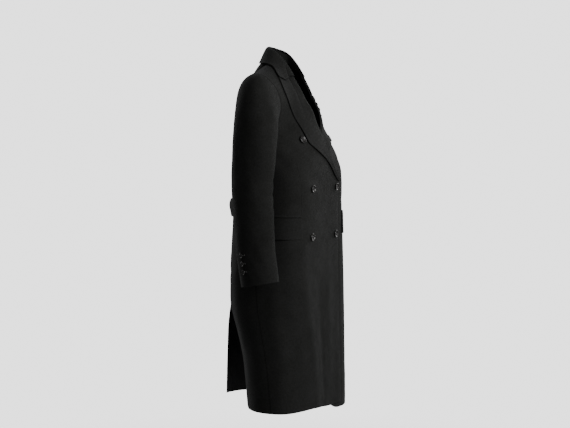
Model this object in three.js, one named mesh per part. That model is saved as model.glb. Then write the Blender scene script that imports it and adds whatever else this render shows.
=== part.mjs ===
// A long double-breasted overcoat in heavy wool, worn closed and hollow, in millimetres.
// +Z is up, the wearer's left is +X, the front faces -Y, and the origin lies in the neck
// opening at the height of the nape. Each piece that is cut and sewn is its own mesh.
import * as THREE from 'three';
import { mergeVertices } from 'three/addons/utils/BufferGeometryUtils.js';

// ---------------------------------------------------------------- driving dimensions
const CLOTH = 3; // wall of heavy wool with its interlining
const SEAM_GAP = 0.3; // between two pieces that are sewn edge to edge
const LAYER_GAP = 1.2; // between two pieces that lie on each other
const HEM_Z = -1106;
const ARMPIT_Z = -237;
const BREAK_Z = -393; // where the front edge starts to fold back as the lapel
const OVERLAP = 109; // how far each front reaches past the centre line
const SHOULDER = { e: 214, y: 23, z: -50 }; // the outer end of the shoulder seam
const VENT_TOP_Z = -640;
const VENT_UNDERLAP = 46; // how far the right back reaches under the left
const VENT_SINK = 16; // the height in which it sinks under the left
const VENT_WIDEN = 60; // and in which it reaches its full width
const HEM_DIP = { edge: 9, pocket: 26 }; // how far the right front hangs down at its edge,
// and the left one in front of its side seam
const TWIST = { hips: -2.5, shoulders: 7.1, from: -430, to: -90 }; // degrees, and heights
const BUTTON_RADIUS = 12;
const CUFF_BUTTON_RADIUS = 7.5;
const RIGHT = -1;
const LEFT = 1;

// Lengths called e run from the centre line towards the piece's own side of the body.

// ---------------------------------------------------------------- tables of the cut
// A level of the body: half width, depth of the front and the back from the axis, and
// how square the right front, the left front and the back are (2 is an ellipse).
const BODY_LEVELS = [
  { z: -1103, halfWidth: 232, front: 154, back: 184, rightCorner: 3.0, leftCorner: 4.2, backCorner: 2.2 },
  { z: -940, halfWidth: 225, front: 150, back: 176, rightCorner: 3.4, leftCorner: 4.8, backCorner: 2.2 },
  { z: -787, halfWidth: 216, front: 147, back: 163, rightCorner: 3.8, leftCorner: 5.2, backCorner: 2.3 },
  { z: -655, halfWidth: 205, front: 146, back: 150, rightCorner: 4.0, leftCorner: 5.6, backCorner: 2.4 },
  { z: -509, halfWidth: 192, front: 145, back: 143, rightCorner: 4.2, leftCorner: 6.0, backCorner: 2.4 },
  { z: -440, halfWidth: 187, front: 146, back: 144, rightCorner: 4.2, leftCorner: 6.0, backCorner: 2.4 },
  { z: -350, halfWidth: 189, front: 150, back: 146, rightCorner: 3.8, leftCorner: 5.0, backCorner: 2.4 },
  { z: -290, halfWidth: 192, front: 142, back: 146, rightCorner: 2.7, leftCorner: 3.2, backCorner: 2.3 },
  { z: -237, halfWidth: 196, front: 130, back: 144, rightCorner: 2.0, leftCorner: 2.0, backCorner: 2.3 },
];

// How each side of the skirt hangs below the belt: the section's middle moves forwards
// (negative) and the back of the right side hangs in, under the flared left side.
const SKIRT_LEVELS = {
  [RIGHT]: [
    { z: -1103, middle: -72, tuck: 94 },
    { z: -940, middle: -50, tuck: 67 },
    { z: -860, middle: -32, tuck: 40 },
    { z: -787, middle: -16, tuck: 11 },
    { z: -700, middle: -6, tuck: 2 },
    { z: -640, middle: -2, tuck: 0 },
    { z: -509, middle: 0, tuck: 0 },
    { z: -440, middle: 0, tuck: 0 },
    { z: -237, middle: 0, tuck: 0 },
  ],
  [LEFT]: [
    { z: -1103, middle: -12, tuck: 0 },
    { z: -787, middle: -6, tuck: 0 },
    { z: -700, middle: -4, tuck: 0 },
    { z: -640, middle: -2, tuck: 0 },
    { z: -509, middle: 0, tuck: 0 },
    { z: -440, middle: 0, tuck: 0 },
    { z: -237, middle: 0, tuck: 0 },
  ],
};

// The left back flares at its open vent edge: how far the edge swings across and out.
const FLARE_LEVELS = [
  { z: -1103, across: 36, out: 48 },
  { z: -940, across: 32, out: 49 },
  { z: -860, across: 26, out: 48 },
  { z: -787, across: 17, out: 38 },
  { z: -720, across: 7, out: 18 },
  { z: -640, across: 0, out: 0 },
];

// Soft vertical flutes of the skirt: where round the body, how wide, how far out at the hem.
const FLUTES = [
  { angle: 38, width: 11, depth: 3.5 },
  { angle: 66, width: 12, depth: -4 },
  { angle: 98, width: 13, depth: 5 },
  { angle: 128, width: 12, depth: -5 },
  { angle: 154, width: 11, depth: 4 },
];
const FLUTE_TOP_Z = -620;

// The roll line, where the lapel folds back: on the body's own form from the break to the
// armpits' level, and then up to the gorge.
const ROLL_LOW = [
  { z: BREAK_Z, e: -OVERLAP },
  { z: -365, e: -76 },
  { z: -338, e: -49 },
  { z: -289, e: -12 },
  { z: ARMPIT_Z, e: 15 },
];
const ROLL_HIGH = [
  { z: -200, e: 27, y: -116 },
  { z: -163, e: 38, y: -104 },
  { z: -128, e: 48, y: -84 },
  { z: -100, e: 55, y: -71 },
  { z: -76, e: 59, y: -58 },
  { z: -55, e: 61, y: -46 },
];
const ROLL_LINE = [...ROLL_LOW, ...ROLL_HIGH];
const GORGE_Z = ROLL_HIGH[ROLL_HIGH.length - 1].z;

// The lapel by rows square to the roll line: where each row starts on the roll line, and
// where it ends at the lapel's outer edge.
const LAPEL_ROWS = [
  { roll: -390, e: -98, z: -392 },
  { roll: -369, e: -66, z: -371 },
  { roll: -345, e: -37, z: -345 },
  { roll: -318, e: -3, z: -320 },
  { roll: -292, e: 28, z: -304 },
  { roll: -266, e: 58, z: -290 },
  { roll: -242, e: 94, z: -269 },
  { roll: -216, e: 105, z: -246 },
  { roll: -182, e: 112, z: -208 },
  { roll: -132, e: 131, z: -146 },
  { roll: -90, e: 145, z: -98 },
  { roll: -55, e: 139, z: -62 },
];
const LAPEL_LAST_ROW = LAPEL_ROWS.length - 1;
const LAPEL_NUMBERED = LAPEL_ROWS.map((entry, row) => ({ ...entry, row }));
const NOTCH_SHARE = 0.62; // how far along its top edge the lapel has its notch
const NOTCH_DROP = 13; // and how far that lies below a straight top edge

// The neck seam, the fold of the collar above it, and the collar's free edge, from the
// gorge round to the nape.
const NECK_SEAM = [
  { e: 61, y: -45, z: -55 },
  { e: 68, y: -25, z: -32 },
  { e: 77, y: 9, z: -8 },
  { e: 56, y: 45, z: -3 },
  { e: 0, y: 61, z: 0 },
];
const COLLAR_FOLD = [
  { e: 60, y: -46, z: -48 },
  { e: 63, y: -24, z: -14 },
  { e: 68, y: 9, z: 20 },
  { e: 47, y: 37, z: 33 },
  { e: 0, y: 50, z: 38 },
];
const COLLAR_EDGE = [
  { e: 122, y: -22, z: -47 },
  { e: 122, y: 0, z: -25 },
  { e: 113, y: 23, z: -16 },
  { e: 80, y: 54, z: -15 },
  { e: 0, y: 75, z: -9 },
];
const COLLAR_ROLL = 1.8; // how far below the fold the stand ends, inside the rolled fall
const STAND_WALL = 2.6;
const STAND_START = 8 * SEAM_GAP; // how far above the neck seam's line the stand starts
// The fall starts inside the fold and above it, leaves it outwards and upwards, and comes
// down to its edge; its ends are drawn onto the lapels over a share of its length.
const FALL = { inside: 2.8, above: 2, out: 26, up: 8, down: 1.05, drawn: 0.13 };
const TOP_GAP = { gorge: 1, peak: 2.6 }; // between the lapel's top edge and the collar

// The sleeve from the upper arm to the cuff: middle, half thickness across the arm, half
// breadth from front to back, and how far the front lies above the back.
const SLEEVE_LEVELS = [
  { z: -262, e: 249, rightY: -4, leftY: 16, across: 46, breadth: 72, slope: 0 },
  { z: -350, e: 256, rightY: -16, leftY: 5, across: 45, breadth: 70.5, slope: 0.02 },
  { z: -470, e: 264, rightY: -28, leftY: -5, across: 43, breadth: 67, slope: 0.06 },
  { z: -590, e: 269, rightY: -38, leftY: -9, across: 41, breadth: 65, slope: 0.12 },
  { z: -698, e: 272, rightY: -55, leftY: -14, across: 39, breadth: 62.5, slope: 0.18 },
];
const FORE_SEAM_ANGLE = 120; // round the sleeve from its outer side, over the front
const HIND_SEAM_ANGLE = -60;
const SLEEVE_START = 4 * SEAM_GAP; // the sleeve head stands off the armhole's raw edge
// How the sleeve head leaves the armhole, under the arm and at the shoulder: outwards, up,
// and how strongly, as a share of its span; and how strongly it comes down into the arm.
const HEAD_UNDER = { out: 0.75, up: -0.66, pull: 0.9 };
const HEAD_CROWN = { out: 0.97, up: -0.2, pull: 0.95 };
const HEAD_ARRIVE = 1.15;

// ---------------------------------------------------------------- small mathematics
const radians = (degrees) => (degrees * Math.PI) / 180;
const mix = (a, b, t) => a + (b - a) * t;

function smoothstep(from, to, value) {
  const t = Math.min(1, Math.max(0, (value - from) / (to - from)));
  return t * t * (3 - 2 * t);
}

// A smooth curve through the rows of a table, for one named column against another.
function column(rows, key, name, value) {
  const ascending = rows[0][key] < rows[rows.length - 1][key];
  const sorted = ascending ? rows : [...rows].reverse();
  const last = sorted.length - 1;
  let i = 0;
  while (i < last - 1 && value > sorted[i + 1][key]) i += 1;
  const slopeAt = (j) => {
    const before = sorted[Math.max(0, j - 1)];
    const after = sorted[Math.min(last, j + 1)];
    return (after[name] - before[name]) / (after[key] - before[key]);
  };
  const a = sorted[i];
  const b = sorted[i + 1];
  const width = b[key] - a[key];
  const t = (value - a[key]) / width;
  if (t < 0) return a[name] + slopeAt(i) * (value - a[key]);
  if (t > 1) return b[name] + slopeAt(i + 1) * (value - b[key]);
  return hermite(a[name], slopeAt(i) * width, b[name], slopeAt(i + 1) * width, t);
}

function hermite(from, fromSlope, to, toSlope, t) {
  const t2 = t * t;
  const t3 = t2 * t;
  return (
    (2 * t3 - 3 * t2 + 1) * from +
    (t3 - 2 * t2 + t) * fromSlope +
    (3 * t2 - 2 * t3) * to +
    (t3 - t2) * toSlope
  );
}

function hermitePoint(from, fromSlope, to, toSlope, t) {
  return new THREE.Vector3(
    hermite(from.x, fromSlope.x, to.x, toSlope.x, t),
    hermite(from.y, fromSlope.y, to.y, toSlope.y, t),
    hermite(from.z, fromSlope.z, to.z, toSlope.z, t),
  );
}

// A point on a smooth space curve through a table of e, y and z, for one side of the body.
function curvePoint(rows, side, t) {
  const points = rows.map((row) => new THREE.Vector3(side * row.e, row.y, row.z));
  return new THREE.CatmullRomCurve3(points, false, 'centripetal').getPoint(t);
}

// ---------------------------------------------------------------- cloth walls
// The outward normal of surface(u, v); sign says which way round u and v turn.
function normalAt(surface, u, v, sign, range) {
  const step = 2e-3;
  const [uMin, uMax, vMin, vMax] = range;
  const alongU = surface(Math.min(uMax, u + step), v).sub(surface(Math.max(uMin, u - step), v));
  const alongV = surface(u, Math.min(vMax, v + step)).sub(surface(u, Math.max(vMin, v - step)));
  return alongU.cross(alongV).normalize().multiplyScalar(sign);
}

function evenSteps(count, from = 0, to = 1) {
  return Array.from({ length: count + 1 }, (_, i) => mix(from, to, i / count));
}

// A closed wall of cloth: its outer face through surface(u, v), its inner face one wall
// further in, and rims all round. Its edges stand back half a seam gap from the seam.
// settle() squares the normals at a seam, so that both pieces there have the same one.
function clothWall(surface, us, vs, sign, wall = CLOTH, settle = null) {
  const range = [us[0], us[us.length - 1], vs[0], vs[vs.length - 1]];
  const outer = vs.map((v) => us.map((u) => surface(u, v)));
  const normals = vs.map((v) =>
    us.map((u) => {
      const normal = normalAt(surface, u, v, sign, range);
      if (settle) settle(normal, u, v);
      return normal.normalize();
    }),
  );
  const standBack = (point, neighbour) => {
    const inwards = neighbour.clone().sub(point);
    point.addScaledVector(inwards.normalize(), SEAM_GAP / 2);
  };
  const lastColumn = us.length - 1;
  const lastRow = vs.length - 1;
  for (const row of outer) {
    standBack(row[0], row[1]);
    standBack(row[lastColumn], row[lastColumn - 1]);
  }
  for (let c = 0; c <= lastColumn; c += 1) {
    standBack(outer[0][c], outer[1][c]);
    standBack(outer[lastRow][c], outer[lastRow - 1][c]);
  }
  const inner = outer.map((row, r) =>
    row.map((point, c) => point.clone().addScaledVector(normals[r][c], -wall)),
  );
  return closedGrid(outer, inner, sign > 0);
}

// Joins two grids of points of the same size into one closed body.
function closedGrid(outer, inner, turned) {
  const positions = [];
  const corner = (point) => positions.push(point.x, point.y, point.z);
  const quad = (a, b, c, d) => {
    const ring = turned ? [a, b, c, a, c, d] : [a, c, b, a, d, c];
    ring.forEach(corner);
  };
  const lastRow = outer.length - 1;
  const lastColumn = outer[0].length - 1;
  for (let r = 0; r < lastRow; r += 1) {
    for (let c = 0; c < lastColumn; c += 1) {
      quad(outer[r][c], outer[r][c + 1], outer[r + 1][c + 1], outer[r + 1][c]);
      quad(inner[r][c], inner[r + 1][c], inner[r + 1][c + 1], inner[r][c + 1]);
    }
    quad(outer[r][0], outer[r + 1][0], inner[r + 1][0], inner[r][0]);
    quad(outer[r][lastColumn], inner[r][lastColumn], inner[r + 1][lastColumn], outer[r + 1][lastColumn]);
  }
  for (let c = 0; c < lastColumn; c += 1) {
    quad(outer[0][c], inner[0][c], inner[0][c + 1], outer[0][c + 1]);
    quad(outer[lastRow][c], outer[lastRow][c + 1], inner[lastRow][c + 1], inner[lastRow][c]);
  }
  const geometry = new THREE.BufferGeometry();
  geometry.setAttribute('position', new THREE.Float32BufferAttribute(positions, 3));
  const merged = mergeVertices(geometry, 1e-4);
  merged.computeVertexNormals();
  return merged;
}

// ---------------------------------------------------------------- the body's form
function fluteAt(angle, z) {
  const fall = smoothstep(FLUTE_TOP_Z, HEM_Z, z);
  const degrees = (Math.abs(angle) * 180) / Math.PI;
  return FLUTES.reduce(
    (sum, flute) => sum + flute.depth * fall * Math.exp(-(((degrees - flute.angle) / flute.width) ** 2)),
    0,
  );
}

// The section of the body at a height: its middle, its depth and how square it is. The
// part of a front that crosses the centre line follows the other side's section.
function sectionAt(side, z, facesFront, crosses) {
  const level = (name) => column(BODY_LEVELS, 'z', name, z);
  const ownSide = facesFront && crosses ? -side : side;
  const skirt = (name) => column(SKIRT_LEVELS[ownSide], 'z', name, z);
  const frontCorner = ownSide === RIGHT ? 'rightCorner' : 'leftCorner';
  const middle = skirt('middle');
  return {
    middle,
    halfWidth: level('halfWidth'),
    depth: facesFront ? level('front') + middle : level('back') - middle - skirt('tuck'),
    power: level(facesFront ? frontCorner : 'backCorner'),
  };
}

// A point of the body below the armpits. The angle is 0 at the front, 90 degrees at the
// side and 180 degrees at the back, seen from the section's own middle.
function bodyPoint(side, angle, z) {
  const sine = Math.sin(angle);
  const cosine = Math.cos(angle);
  const { middle, halfWidth, depth, power } = sectionAt(side, z, cosine > 0, sine < 0);
  const acrossPart = Math.abs(sine / halfWidth) ** power;
  const depthPart = Math.abs(cosine / depth) ** power;
  const radius = (acrossPart + depthPart) ** (-1 / power) + fluteAt(angle, z);
  return new THREE.Vector3(side * radius * sine, middle - radius * cosine, z);
}

// The angle at which the front or the back of the body lies at a distance e.
function angleAt(side, e, z, facesFront) {
  const { halfWidth, depth, power } = sectionAt(side, z, facesFront, e < 0);
  const share = Math.min(0.999, Math.abs(e / halfWidth));
  const y = depth * (1 - share ** power) ** (1 / power);
  return facesFront ? Math.atan2(e, y) : Math.PI - Math.atan2(e, y);
}

// ---------------------------------------------------------------- armhole and shoulder
const ARMHOLE_BOTTOM_E = 196;
const ARMHOLE_HALF_HEIGHT = (SHOULDER.z - ARMPIT_Z) / 2;
const ARMHOLE_MIDDLE_Z = (SHOULDER.z + ARMPIT_Z) / 2;
const ARMHOLE_BOW = { front: 58, back: 76 }; // how far it bows forwards and backwards
const ARMHOLE_HOLLOW = { front: 27, back: 14 }; // how far each side is cut in

// The armhole's seam, by the angle round the sleeve: 0 at the shoulder, 90 degrees at the
// front, 180 degrees under the arm.
function armholePoint(side, angle) {
  const cosine = Math.cos(angle);
  const sine = Math.sin(angle);
  const rise = (1 + cosine) / 2;
  const part = sine > 0 ? 'front' : 'back';
  const bow = ARMHOLE_BOW[part];
  const hollow = ARMHOLE_HOLLOW[part] * sine * sine;
  const e = mix(ARMHOLE_BOTTOM_E, SHOULDER.e, rise * rise) - hollow;
  const y = SHOULDER.y * rise - bow * sine;
  return new THREE.Vector3(side * e, y, ARMHOLE_MIDDLE_Z + ARMHOLE_HALF_HEIGHT * cosine);
}

// The top edge of a panel: along the neck seam, then along the shoulder seam.
const NECK_SHARE = 0.36;
const SHOULDER_SAG = 4;
const YOKE_RISE = 215; // how strongly the cloth keeps its slope above the armpits
const ARMHOLE_REACH = 0.24; // how far round the body the armhole bows, as a share
// How far the cloth runs over the shoulder before it turns down, beside the armhole and
// beside the neck, and how steeply it climbs to the neck.
const FRONT_OVER = { shoulder: 90, neck: 70, neckUp: 90 };
const BACK_OVER = { shoulder: 175, neck: 245, neckUp: 35 };
const NAPE_RISE = [0, 12, 240]; // how the centre back seam leaves the armpits' level
const NAPE_OVER = [0, -100, 90]; // and how it comes up to the nape

function topEdgePoint(side, u, facesFront) {
  if (u < NECK_SHARE) {
    const t = u / NECK_SHARE;
    return curvePoint(NECK_SEAM, side, facesFront ? t / 2 : 1 - t / 2);
  }
  const t = (u - NECK_SHARE) / (1 - NECK_SHARE);
  const neck = NECK_SEAM[2];
  const sag = SHOULDER_SAG * Math.sin(Math.PI * t);
  return new THREE.Vector3(
    side * mix(neck.e, SHOULDER.e, t),
    mix(neck.y, SHOULDER.y, t),
    mix(neck.z, SHOULDER.z, t) - sag,
  );
}

// The shape between the level of the armpits (t = 0) and the top edge (t = 1), by columns,
// with its outer edge drawn onto the armhole and its inner edge onto the given curve.
// low(at, z) is the section below, and keeps its slope where the yoke starts.
function yokePoint(side, u, t, facesFront, low, innerCurve) {
  const lean = facesFront ? 1 : -1;
  const reach = 1 - ARMHOLE_REACH * Math.sin(Math.PI * t);
  const over = facesFront ? FRONT_OVER : BACK_OVER;
  const columnPoint = (at) => {
    const base = low(at * reach, ARMPIT_Z);
    const rise = base.clone().sub(low(at * reach, ARMPIT_Z - 4)).multiplyScalar(YOKE_RISE / 4);
    const neckPart = 1 - smoothstep(NECK_SHARE * 0.5, NECK_SHARE * 1.3, at);
    const arrive = new THREE.Vector3(
      0,
      lean * mix(over.shoulder, over.neck, neckPart),
      mix(0, over.neckUp, neckPart),
    );
    return hermitePoint(base, rise, topEdgePoint(side, at, facesFront), arrive, t);
  };
  const point = columnPoint(u);
  const armholeAngle = Math.PI * (1 - t) * lean;
  const outerShift = armholePoint(side, armholeAngle).sub(columnPoint(1));
  const innerShift = innerCurve(t).sub(columnPoint(0));
  point.addScaledVector(outerShift, smoothstep(0.25, 1, u));
  point.addScaledVector(innerShift, 1 - smoothstep(0, 0.5, u));
  return point;
}

// ---------------------------------------------------------------- fronts
// v runs from 0 at the hem to 1 at the armpits and to 2 at the top edge.
const levelZ = (v) => mix(HEM_Z, ARMPIT_Z, v);

function innerEdge(z) {
  if (z <= BREAK_Z) return -OVERLAP;
  return column(ROLL_LOW, 'z', 'e', z);
}

const FOLD_DEPTH = 8.5; // room for the left lapel under the right front

// The left front lies under the right one, and deeper where the lapel folds under it.
function underlay(side, e, z) {
  if (side === RIGHT) return 0;
  const covered = 1 - smoothstep(95, 140, e);
  const foldLevel = smoothstep(-450, -395, z) * (1 - smoothstep(-252, -212, z));
  const foldCovered = 1 - smoothstep(22, 75, e);
  const buttoned = 1 - smoothstep(-240, -190, z);
  return (CLOTH + LAYER_GAP) * covered * buttoned + FOLD_DEPTH * foldLevel * foldCovered;
}

// The height on a front, lowered where its hem hangs down.
function frontHem(side, u, z) {
  const atEdge = HEM_DIP.edge * (1 - smoothstep(0.1, 0.75, u));
  const besidePocket = HEM_DIP.pocket * smoothstep(0.4, 0.62, u) * (1 - smoothstep(0.78, 1, u));
  const dip = side === RIGHT ? atEdge : besidePocket;
  return z - dip * smoothstep(HEM_Z + 260, HEM_Z, z);
}

function frontPoint(side, u, v) {
  const low = (at, z) => {
    const angle = mix(angleAt(side, innerEdge(z), z, true), Math.PI / 2, at);
    const point = bodyPoint(side, angle, z);
    point.y += underlay(side, side * point.x, z);
    return point;
  };
  if (v <= 1) return low(u, frontHem(side, u, levelZ(v)));
  const t = v - 1;
  const innerCurve = (at) => rollPoint(side, mix(ARMPIT_Z, GORGE_Z, at));
  return yokePoint(side, u, t, true, low, innerCurve);
}

function rollPoint(side, z) {
  const e = column(ROLL_LINE, 'z', 'e', z);
  if (z < ARMPIT_Z) return new THREE.Vector3(side * e, 0, z);
  const upper = [{ z: ARMPIT_Z, y: rollDepth(side) }, ...ROLL_HIGH];
  const y = column(upper, 'z', 'y', z);
  return new THREE.Vector3(side * e, y, z);
}

// The depth of the roll line at the level of the armpits, on the body's own form.
function rollDepth(side) {
  const { e } = ROLL_LOW[ROLL_LOW.length - 1];
  const point = bodyPoint(side, angleAt(side, e, ARMPIT_Z, true), ARMPIT_Z);
  return point.y + underlay(side, e, ARMPIT_Z);
}

const FRONT_COLUMNS = evenSteps(12);

// The fronts and the backs share their rows, so that their seams match.
const rowOf = (z) => (z - HEM_Z) / (ARMPIT_Z - HEM_Z);
const PANEL_ROWS = [
  ...evenSteps(9, 0, rowOf(VENT_TOP_Z - VENT_SINK)),
  ...evenSteps(6, rowOf(VENT_TOP_Z), rowOf(BREAK_Z)),
  ...evenSteps(8, rowOf(BREAK_Z), 1).slice(1),
  ...evenSteps(9, 1, 2).slice(1),
];

// At the side seam the cloth faces sideways, and at the shoulder seam neither forwards
// nor backwards.
function settlePanel(sideSeamU) {
  return (normal, u, v) => {
    if (v >= 2 || (u === sideSeamU && v <= 1)) normal.y = 0;
  };
}

function frontPanel(side) {
  const surface = (u, v) => frontPoint(side, u, v);
  return clothWall(surface, FRONT_COLUMNS, PANEL_ROWS, side, CLOTH, settlePanel(1));
}

// ---------------------------------------------------------------- backs
function backEdge(side, z) {
  if (side === LEFT) return 0;
  return -VENT_UNDERLAP * smoothstep(VENT_TOP_Z - VENT_SINK, VENT_TOP_Z - VENT_WIDEN, z);
}

function backPoint(side, u, v) {
  const low = (at, z) => {
    const angle = mix(Math.PI / 2, angleAt(side, backEdge(side, z), z, false), at);
    const point = bodyPoint(side, angle, z);
    if (side === LEFT) {
      const swing = smoothstep(radians(105), Math.PI, angle) ** 1.5;
      const flare = (name) => (z < VENT_TOP_Z ? column(FLARE_LEVELS, 'z', name, z) : 0);
      point.x += flare('across') * swing;
      point.y += flare('out') * swing;
    } else {
      const under = smoothstep(radians(150), radians(176), angle);
      point.y -= (CLOTH + LAYER_GAP) * under * smoothstep(VENT_TOP_Z, VENT_TOP_Z - VENT_SINK, z);
    }
    return point;
  };
  if (v <= 1) return low(u, levelZ(v));
  const t = v - 1;
  const nape = NECK_SEAM[NECK_SEAM.length - 1];
  const centre = low(1, ARMPIT_Z);
  const top = new THREE.Vector3(0, nape.y, nape.z);
  const rise = new THREE.Vector3(...NAPE_RISE);
  const over = new THREE.Vector3(...NAPE_OVER);
  const innerCurve = (at) => hermitePoint(centre, rise, top, over, at);
  const fromCentre = (at, z) => low(1 - at, z);
  return yokePoint(side, 1 - u, t, false, fromCentre, innerCurve);
}

const BACK_COLUMNS = evenSteps(10);

function backPanel(side) {
  const surface = (u, v) => backPoint(side, u, v);
  const sideSeam = settlePanel(0);
  const settle = (normal, u, v) => {
    sideSeam(normal, u, v);
    if (u === 1) normal.x = 0;
  };
  return clothWall(surface, BACK_COLUMNS, PANEL_ROWS, side, CLOTH, settle);
}

// ---------------------------------------------------------------- sleeves
// A ring of the sleeve at a level; the angle is 0 on the outer side and 90 degrees in front.
function sleeveRing(side, angle, z) {
  const level = (name) => column(SLEEVE_LEVELS, 'z', name, z);
  const y = -level('breadth') * Math.sin(angle);
  const e = level('e') + level('across') * Math.cos(angle);
  const middle = level(side === RIGHT ? 'rightY' : 'leftY');
  return new THREE.Vector3(side * e, middle + y, z - level('slope') * y);
}

// v runs from -1 at the armhole to 0 at the upper arm and to 1 at the cuff.
function sleevePoint(side, angle, v) {
  const top = SLEEVE_LEVELS[0].z;
  const cuff = SLEEVE_LEVELS[SLEEVE_LEVELS.length - 1].z;
  if (v >= 0) return sleeveRing(side, angle, mix(top, cuff, v));
  const seam = armholePoint(side, angle);
  const ring = sleeveRing(side, angle, top);
  const chord = ring.distanceTo(seam);
  const crown = (1 + Math.cos(angle)) / 2;
  const head = (name) => mix(HEAD_UNDER[name], HEAD_CROWN[name], crown);
  const leave = new THREE.Vector3(side * head('out'), 0, head('up'));
  const arrive = sleeveRing(side, angle, top - 1).sub(ring);
  return hermitePoint(
    seam.addScaledVector(leave, SLEEVE_START),
    leave.multiplyScalar(chord * head('pull')),
    ring,
    arrive.normalize().multiplyScalar(chord * HEAD_ARRIVE),
    v + 1,
  );
}

const SLEEVE_ROWS = [...evenSteps(7, -1, 0), ...evenSteps(11, 0, 1).slice(1)];
const SLEEVE_COLUMNS = 9;

function sleevePiece(side, fromDegrees, toDegrees) {
  const angles = evenSteps(SLEEVE_COLUMNS, radians(fromDegrees), radians(toDegrees));
  return clothWall((angle, v) => sleevePoint(side, angle, v), angles, SLEEVE_ROWS, side);
}

// ---------------------------------------------------------------- collar
// w runs from 0 at the right end of the collar to 1 at its left end.
function collarCurve(rows, w) {
  const side = w < 0.5 ? RIGHT : LEFT;
  return curvePoint(rows, side, w < 0.5 ? 2 * w : 2 - 2 * w);
}

function collarStandPoint(w, v) {
  const seam = collarCurve(NECK_SEAM, w);
  const fold = collarCurve(COLLAR_FOLD, w);
  const up = fold.clone().sub(seam).normalize();
  const from = seam.addScaledVector(up, STAND_START);
  const to = fold.addScaledVector(up, -COLLAR_ROLL);
  return from.lerp(to, v);
}

// The fall rolls over the fold and lies down to its free edge. At each end it is drawn
// onto the gorge seam and the front edge beside the lapel's peak.
function collarFallPoint(w, v) {
  const rolled = (at) => {
    const fold = collarCurve(COLLAR_FOLD, at);
    const edge = collarCurve(COLLAR_EDGE, at);
    const outwards = edge.clone().sub(fold).setZ(0).normalize();
    const inside = fold.clone().addScaledVector(outwards, -FALL.inside);
    inside.z += FALL.above;
    const over = outwards.multiplyScalar(FALL.out).setZ(FALL.up);
    const down = edge.clone().sub(fold).multiplyScalar(FALL.down);
    return hermitePoint(inside, over, edge, down, v);
  };
  const side = w < 0.5 ? RIGHT : LEFT;
  const fromEnd = w < 0.5 ? w : 1 - w;
  const point = rolled(w);
  const end = side === RIGHT ? 0 : 1;
  const drawn = lapelTop(side, v).sub(rolled(end));
  return point.addScaledVector(drawn, 1 - smoothstep(0, FALL.drawn, fromEnd));
}

const FALL_ROWS = [0, 0.12, 0.28, 0.46, NOTCH_SHARE, 0.81, 1];

// ---------------------------------------------------------------- lapels
const LAPEL_LIFT = 7.8; // the top of the lapel above the front, where it rolls
const LAPEL_REST = 4.8; // and at its outer edge
const LAPEL_CURL = 6.2; // how far the fold stands out past the front's edge
const LAPEL_ROLLED = 0.12; // the share of its width in which it rolls over
const LAPEL_INNER = 0.05; // and in which it lies over its own start
const LAPEL_COLUMNS = [0, LAPEL_INNER, LAPEL_ROLLED, 0.3, 0.46, NOTCH_SHARE, 0.81, 1];

// The front's surface at a distance e and a height z, found by Newton's method.
function frontAt(side, e, z) {
  const surface = (u, v) => frontPoint(side, u, v);
  const step = 1e-3;
  let u = 0.4;
  let v = z < ARMPIT_Z ? (z - HEM_Z) / (ARMPIT_Z - HEM_Z) : 1 + (z - ARMPIT_Z) / (-20 - ARMPIT_Z);
  for (let i = 0; i < 30; i += 1) {
    const here = surface(u, v);
    const alongU = surface(u + step, v).sub(here).divideScalar(step);
    const alongV = surface(u, v + step).sub(here).divideScalar(step);
    const missE = e - side * here.x;
    const missZ = z - here.z;
    const turn = side * alongU.x * alongV.z - side * alongV.x * alongU.z;
    const moveU = (missE * alongV.z - missZ * side * alongV.x) / turn;
    const moveV = (missZ * side * alongU.x - missE * alongU.z) / turn;
    u = Math.min(1, Math.max(0, u + 0.8 * Math.max(-0.2, Math.min(0.2, moveU))));
    v = Math.min(1.998, Math.max(0, v + 0.8 * Math.max(-0.2, Math.min(0.2, moveV))));
  }
  return { point: surface(u, v), normal: normalAt(surface, u, v, side, [0, 1, 0, 2]) };
}

// The place of a lapel point on the front, as e and z, before it is lifted.
function lapelPlace(side, u, row) {
  const rollZ = column(LAPEL_NUMBERED, 'row', 'roll', row);
  const edge = { e: column(LAPEL_NUMBERED, 'row', 'e', row), z: column(LAPEL_NUMBERED, 'row', 'z', row) };
  const roll = rollPoint(side, rollZ);
  const across = Math.max(0, (u - LAPEL_INNER) / (1 - LAPEL_INNER));
  const slopeWidth = u < NOTCH_SHARE ? NOTCH_SHARE : 1 - NOTCH_SHARE;
  const notch = Math.max(0, 1 - Math.abs(u - NOTCH_SHARE) / slopeWidth);
  const nearTop = smoothstep(LAPEL_LAST_ROW - 2, LAPEL_LAST_ROW, row);
  return {
    e: mix(side * roll.x, edge.e, across),
    z: mix(rollZ, edge.z, across) - NOTCH_DROP * notch * nearTop,
  };
}

function lapelPoint(side, u, row) {
  const { e, z } = lapelPlace(side, u, row);
  const { point, normal } = frontAt(side, e, z);
  const curl = Math.min(1, u / LAPEL_ROLLED);
  const lift = mix(LAPEL_LIFT, LAPEL_REST, u ** 0.7) * Math.sin((curl * Math.PI) / 2);
  point.addScaledVector(normal, lift);
  const outwards = new THREE.Vector3(0, 0, 1).cross(normal).normalize().multiplyScalar(side);
  return point.addScaledVector(outwards, -LAPEL_CURL * (1 - curl) ** 1.5);
}

// The lapel's top edge, raised to where the collar's end meets it.
function lapelTop(side, v) {
  const point = lapelPoint(side, v, LAPEL_LAST_ROW);
  point.z += mix(TOP_GAP.gorge, TOP_GAP.peak, smoothstep(NOTCH_SHARE, 1, v));
  return point;
}

function lapelPiece(side) {
  const surface = (u, v) => lapelPoint(side, u, v);
  return clothWall(surface, LAPEL_COLUMNS, evenSteps(16, 0, LAPEL_LAST_ROW), side);
}

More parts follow.
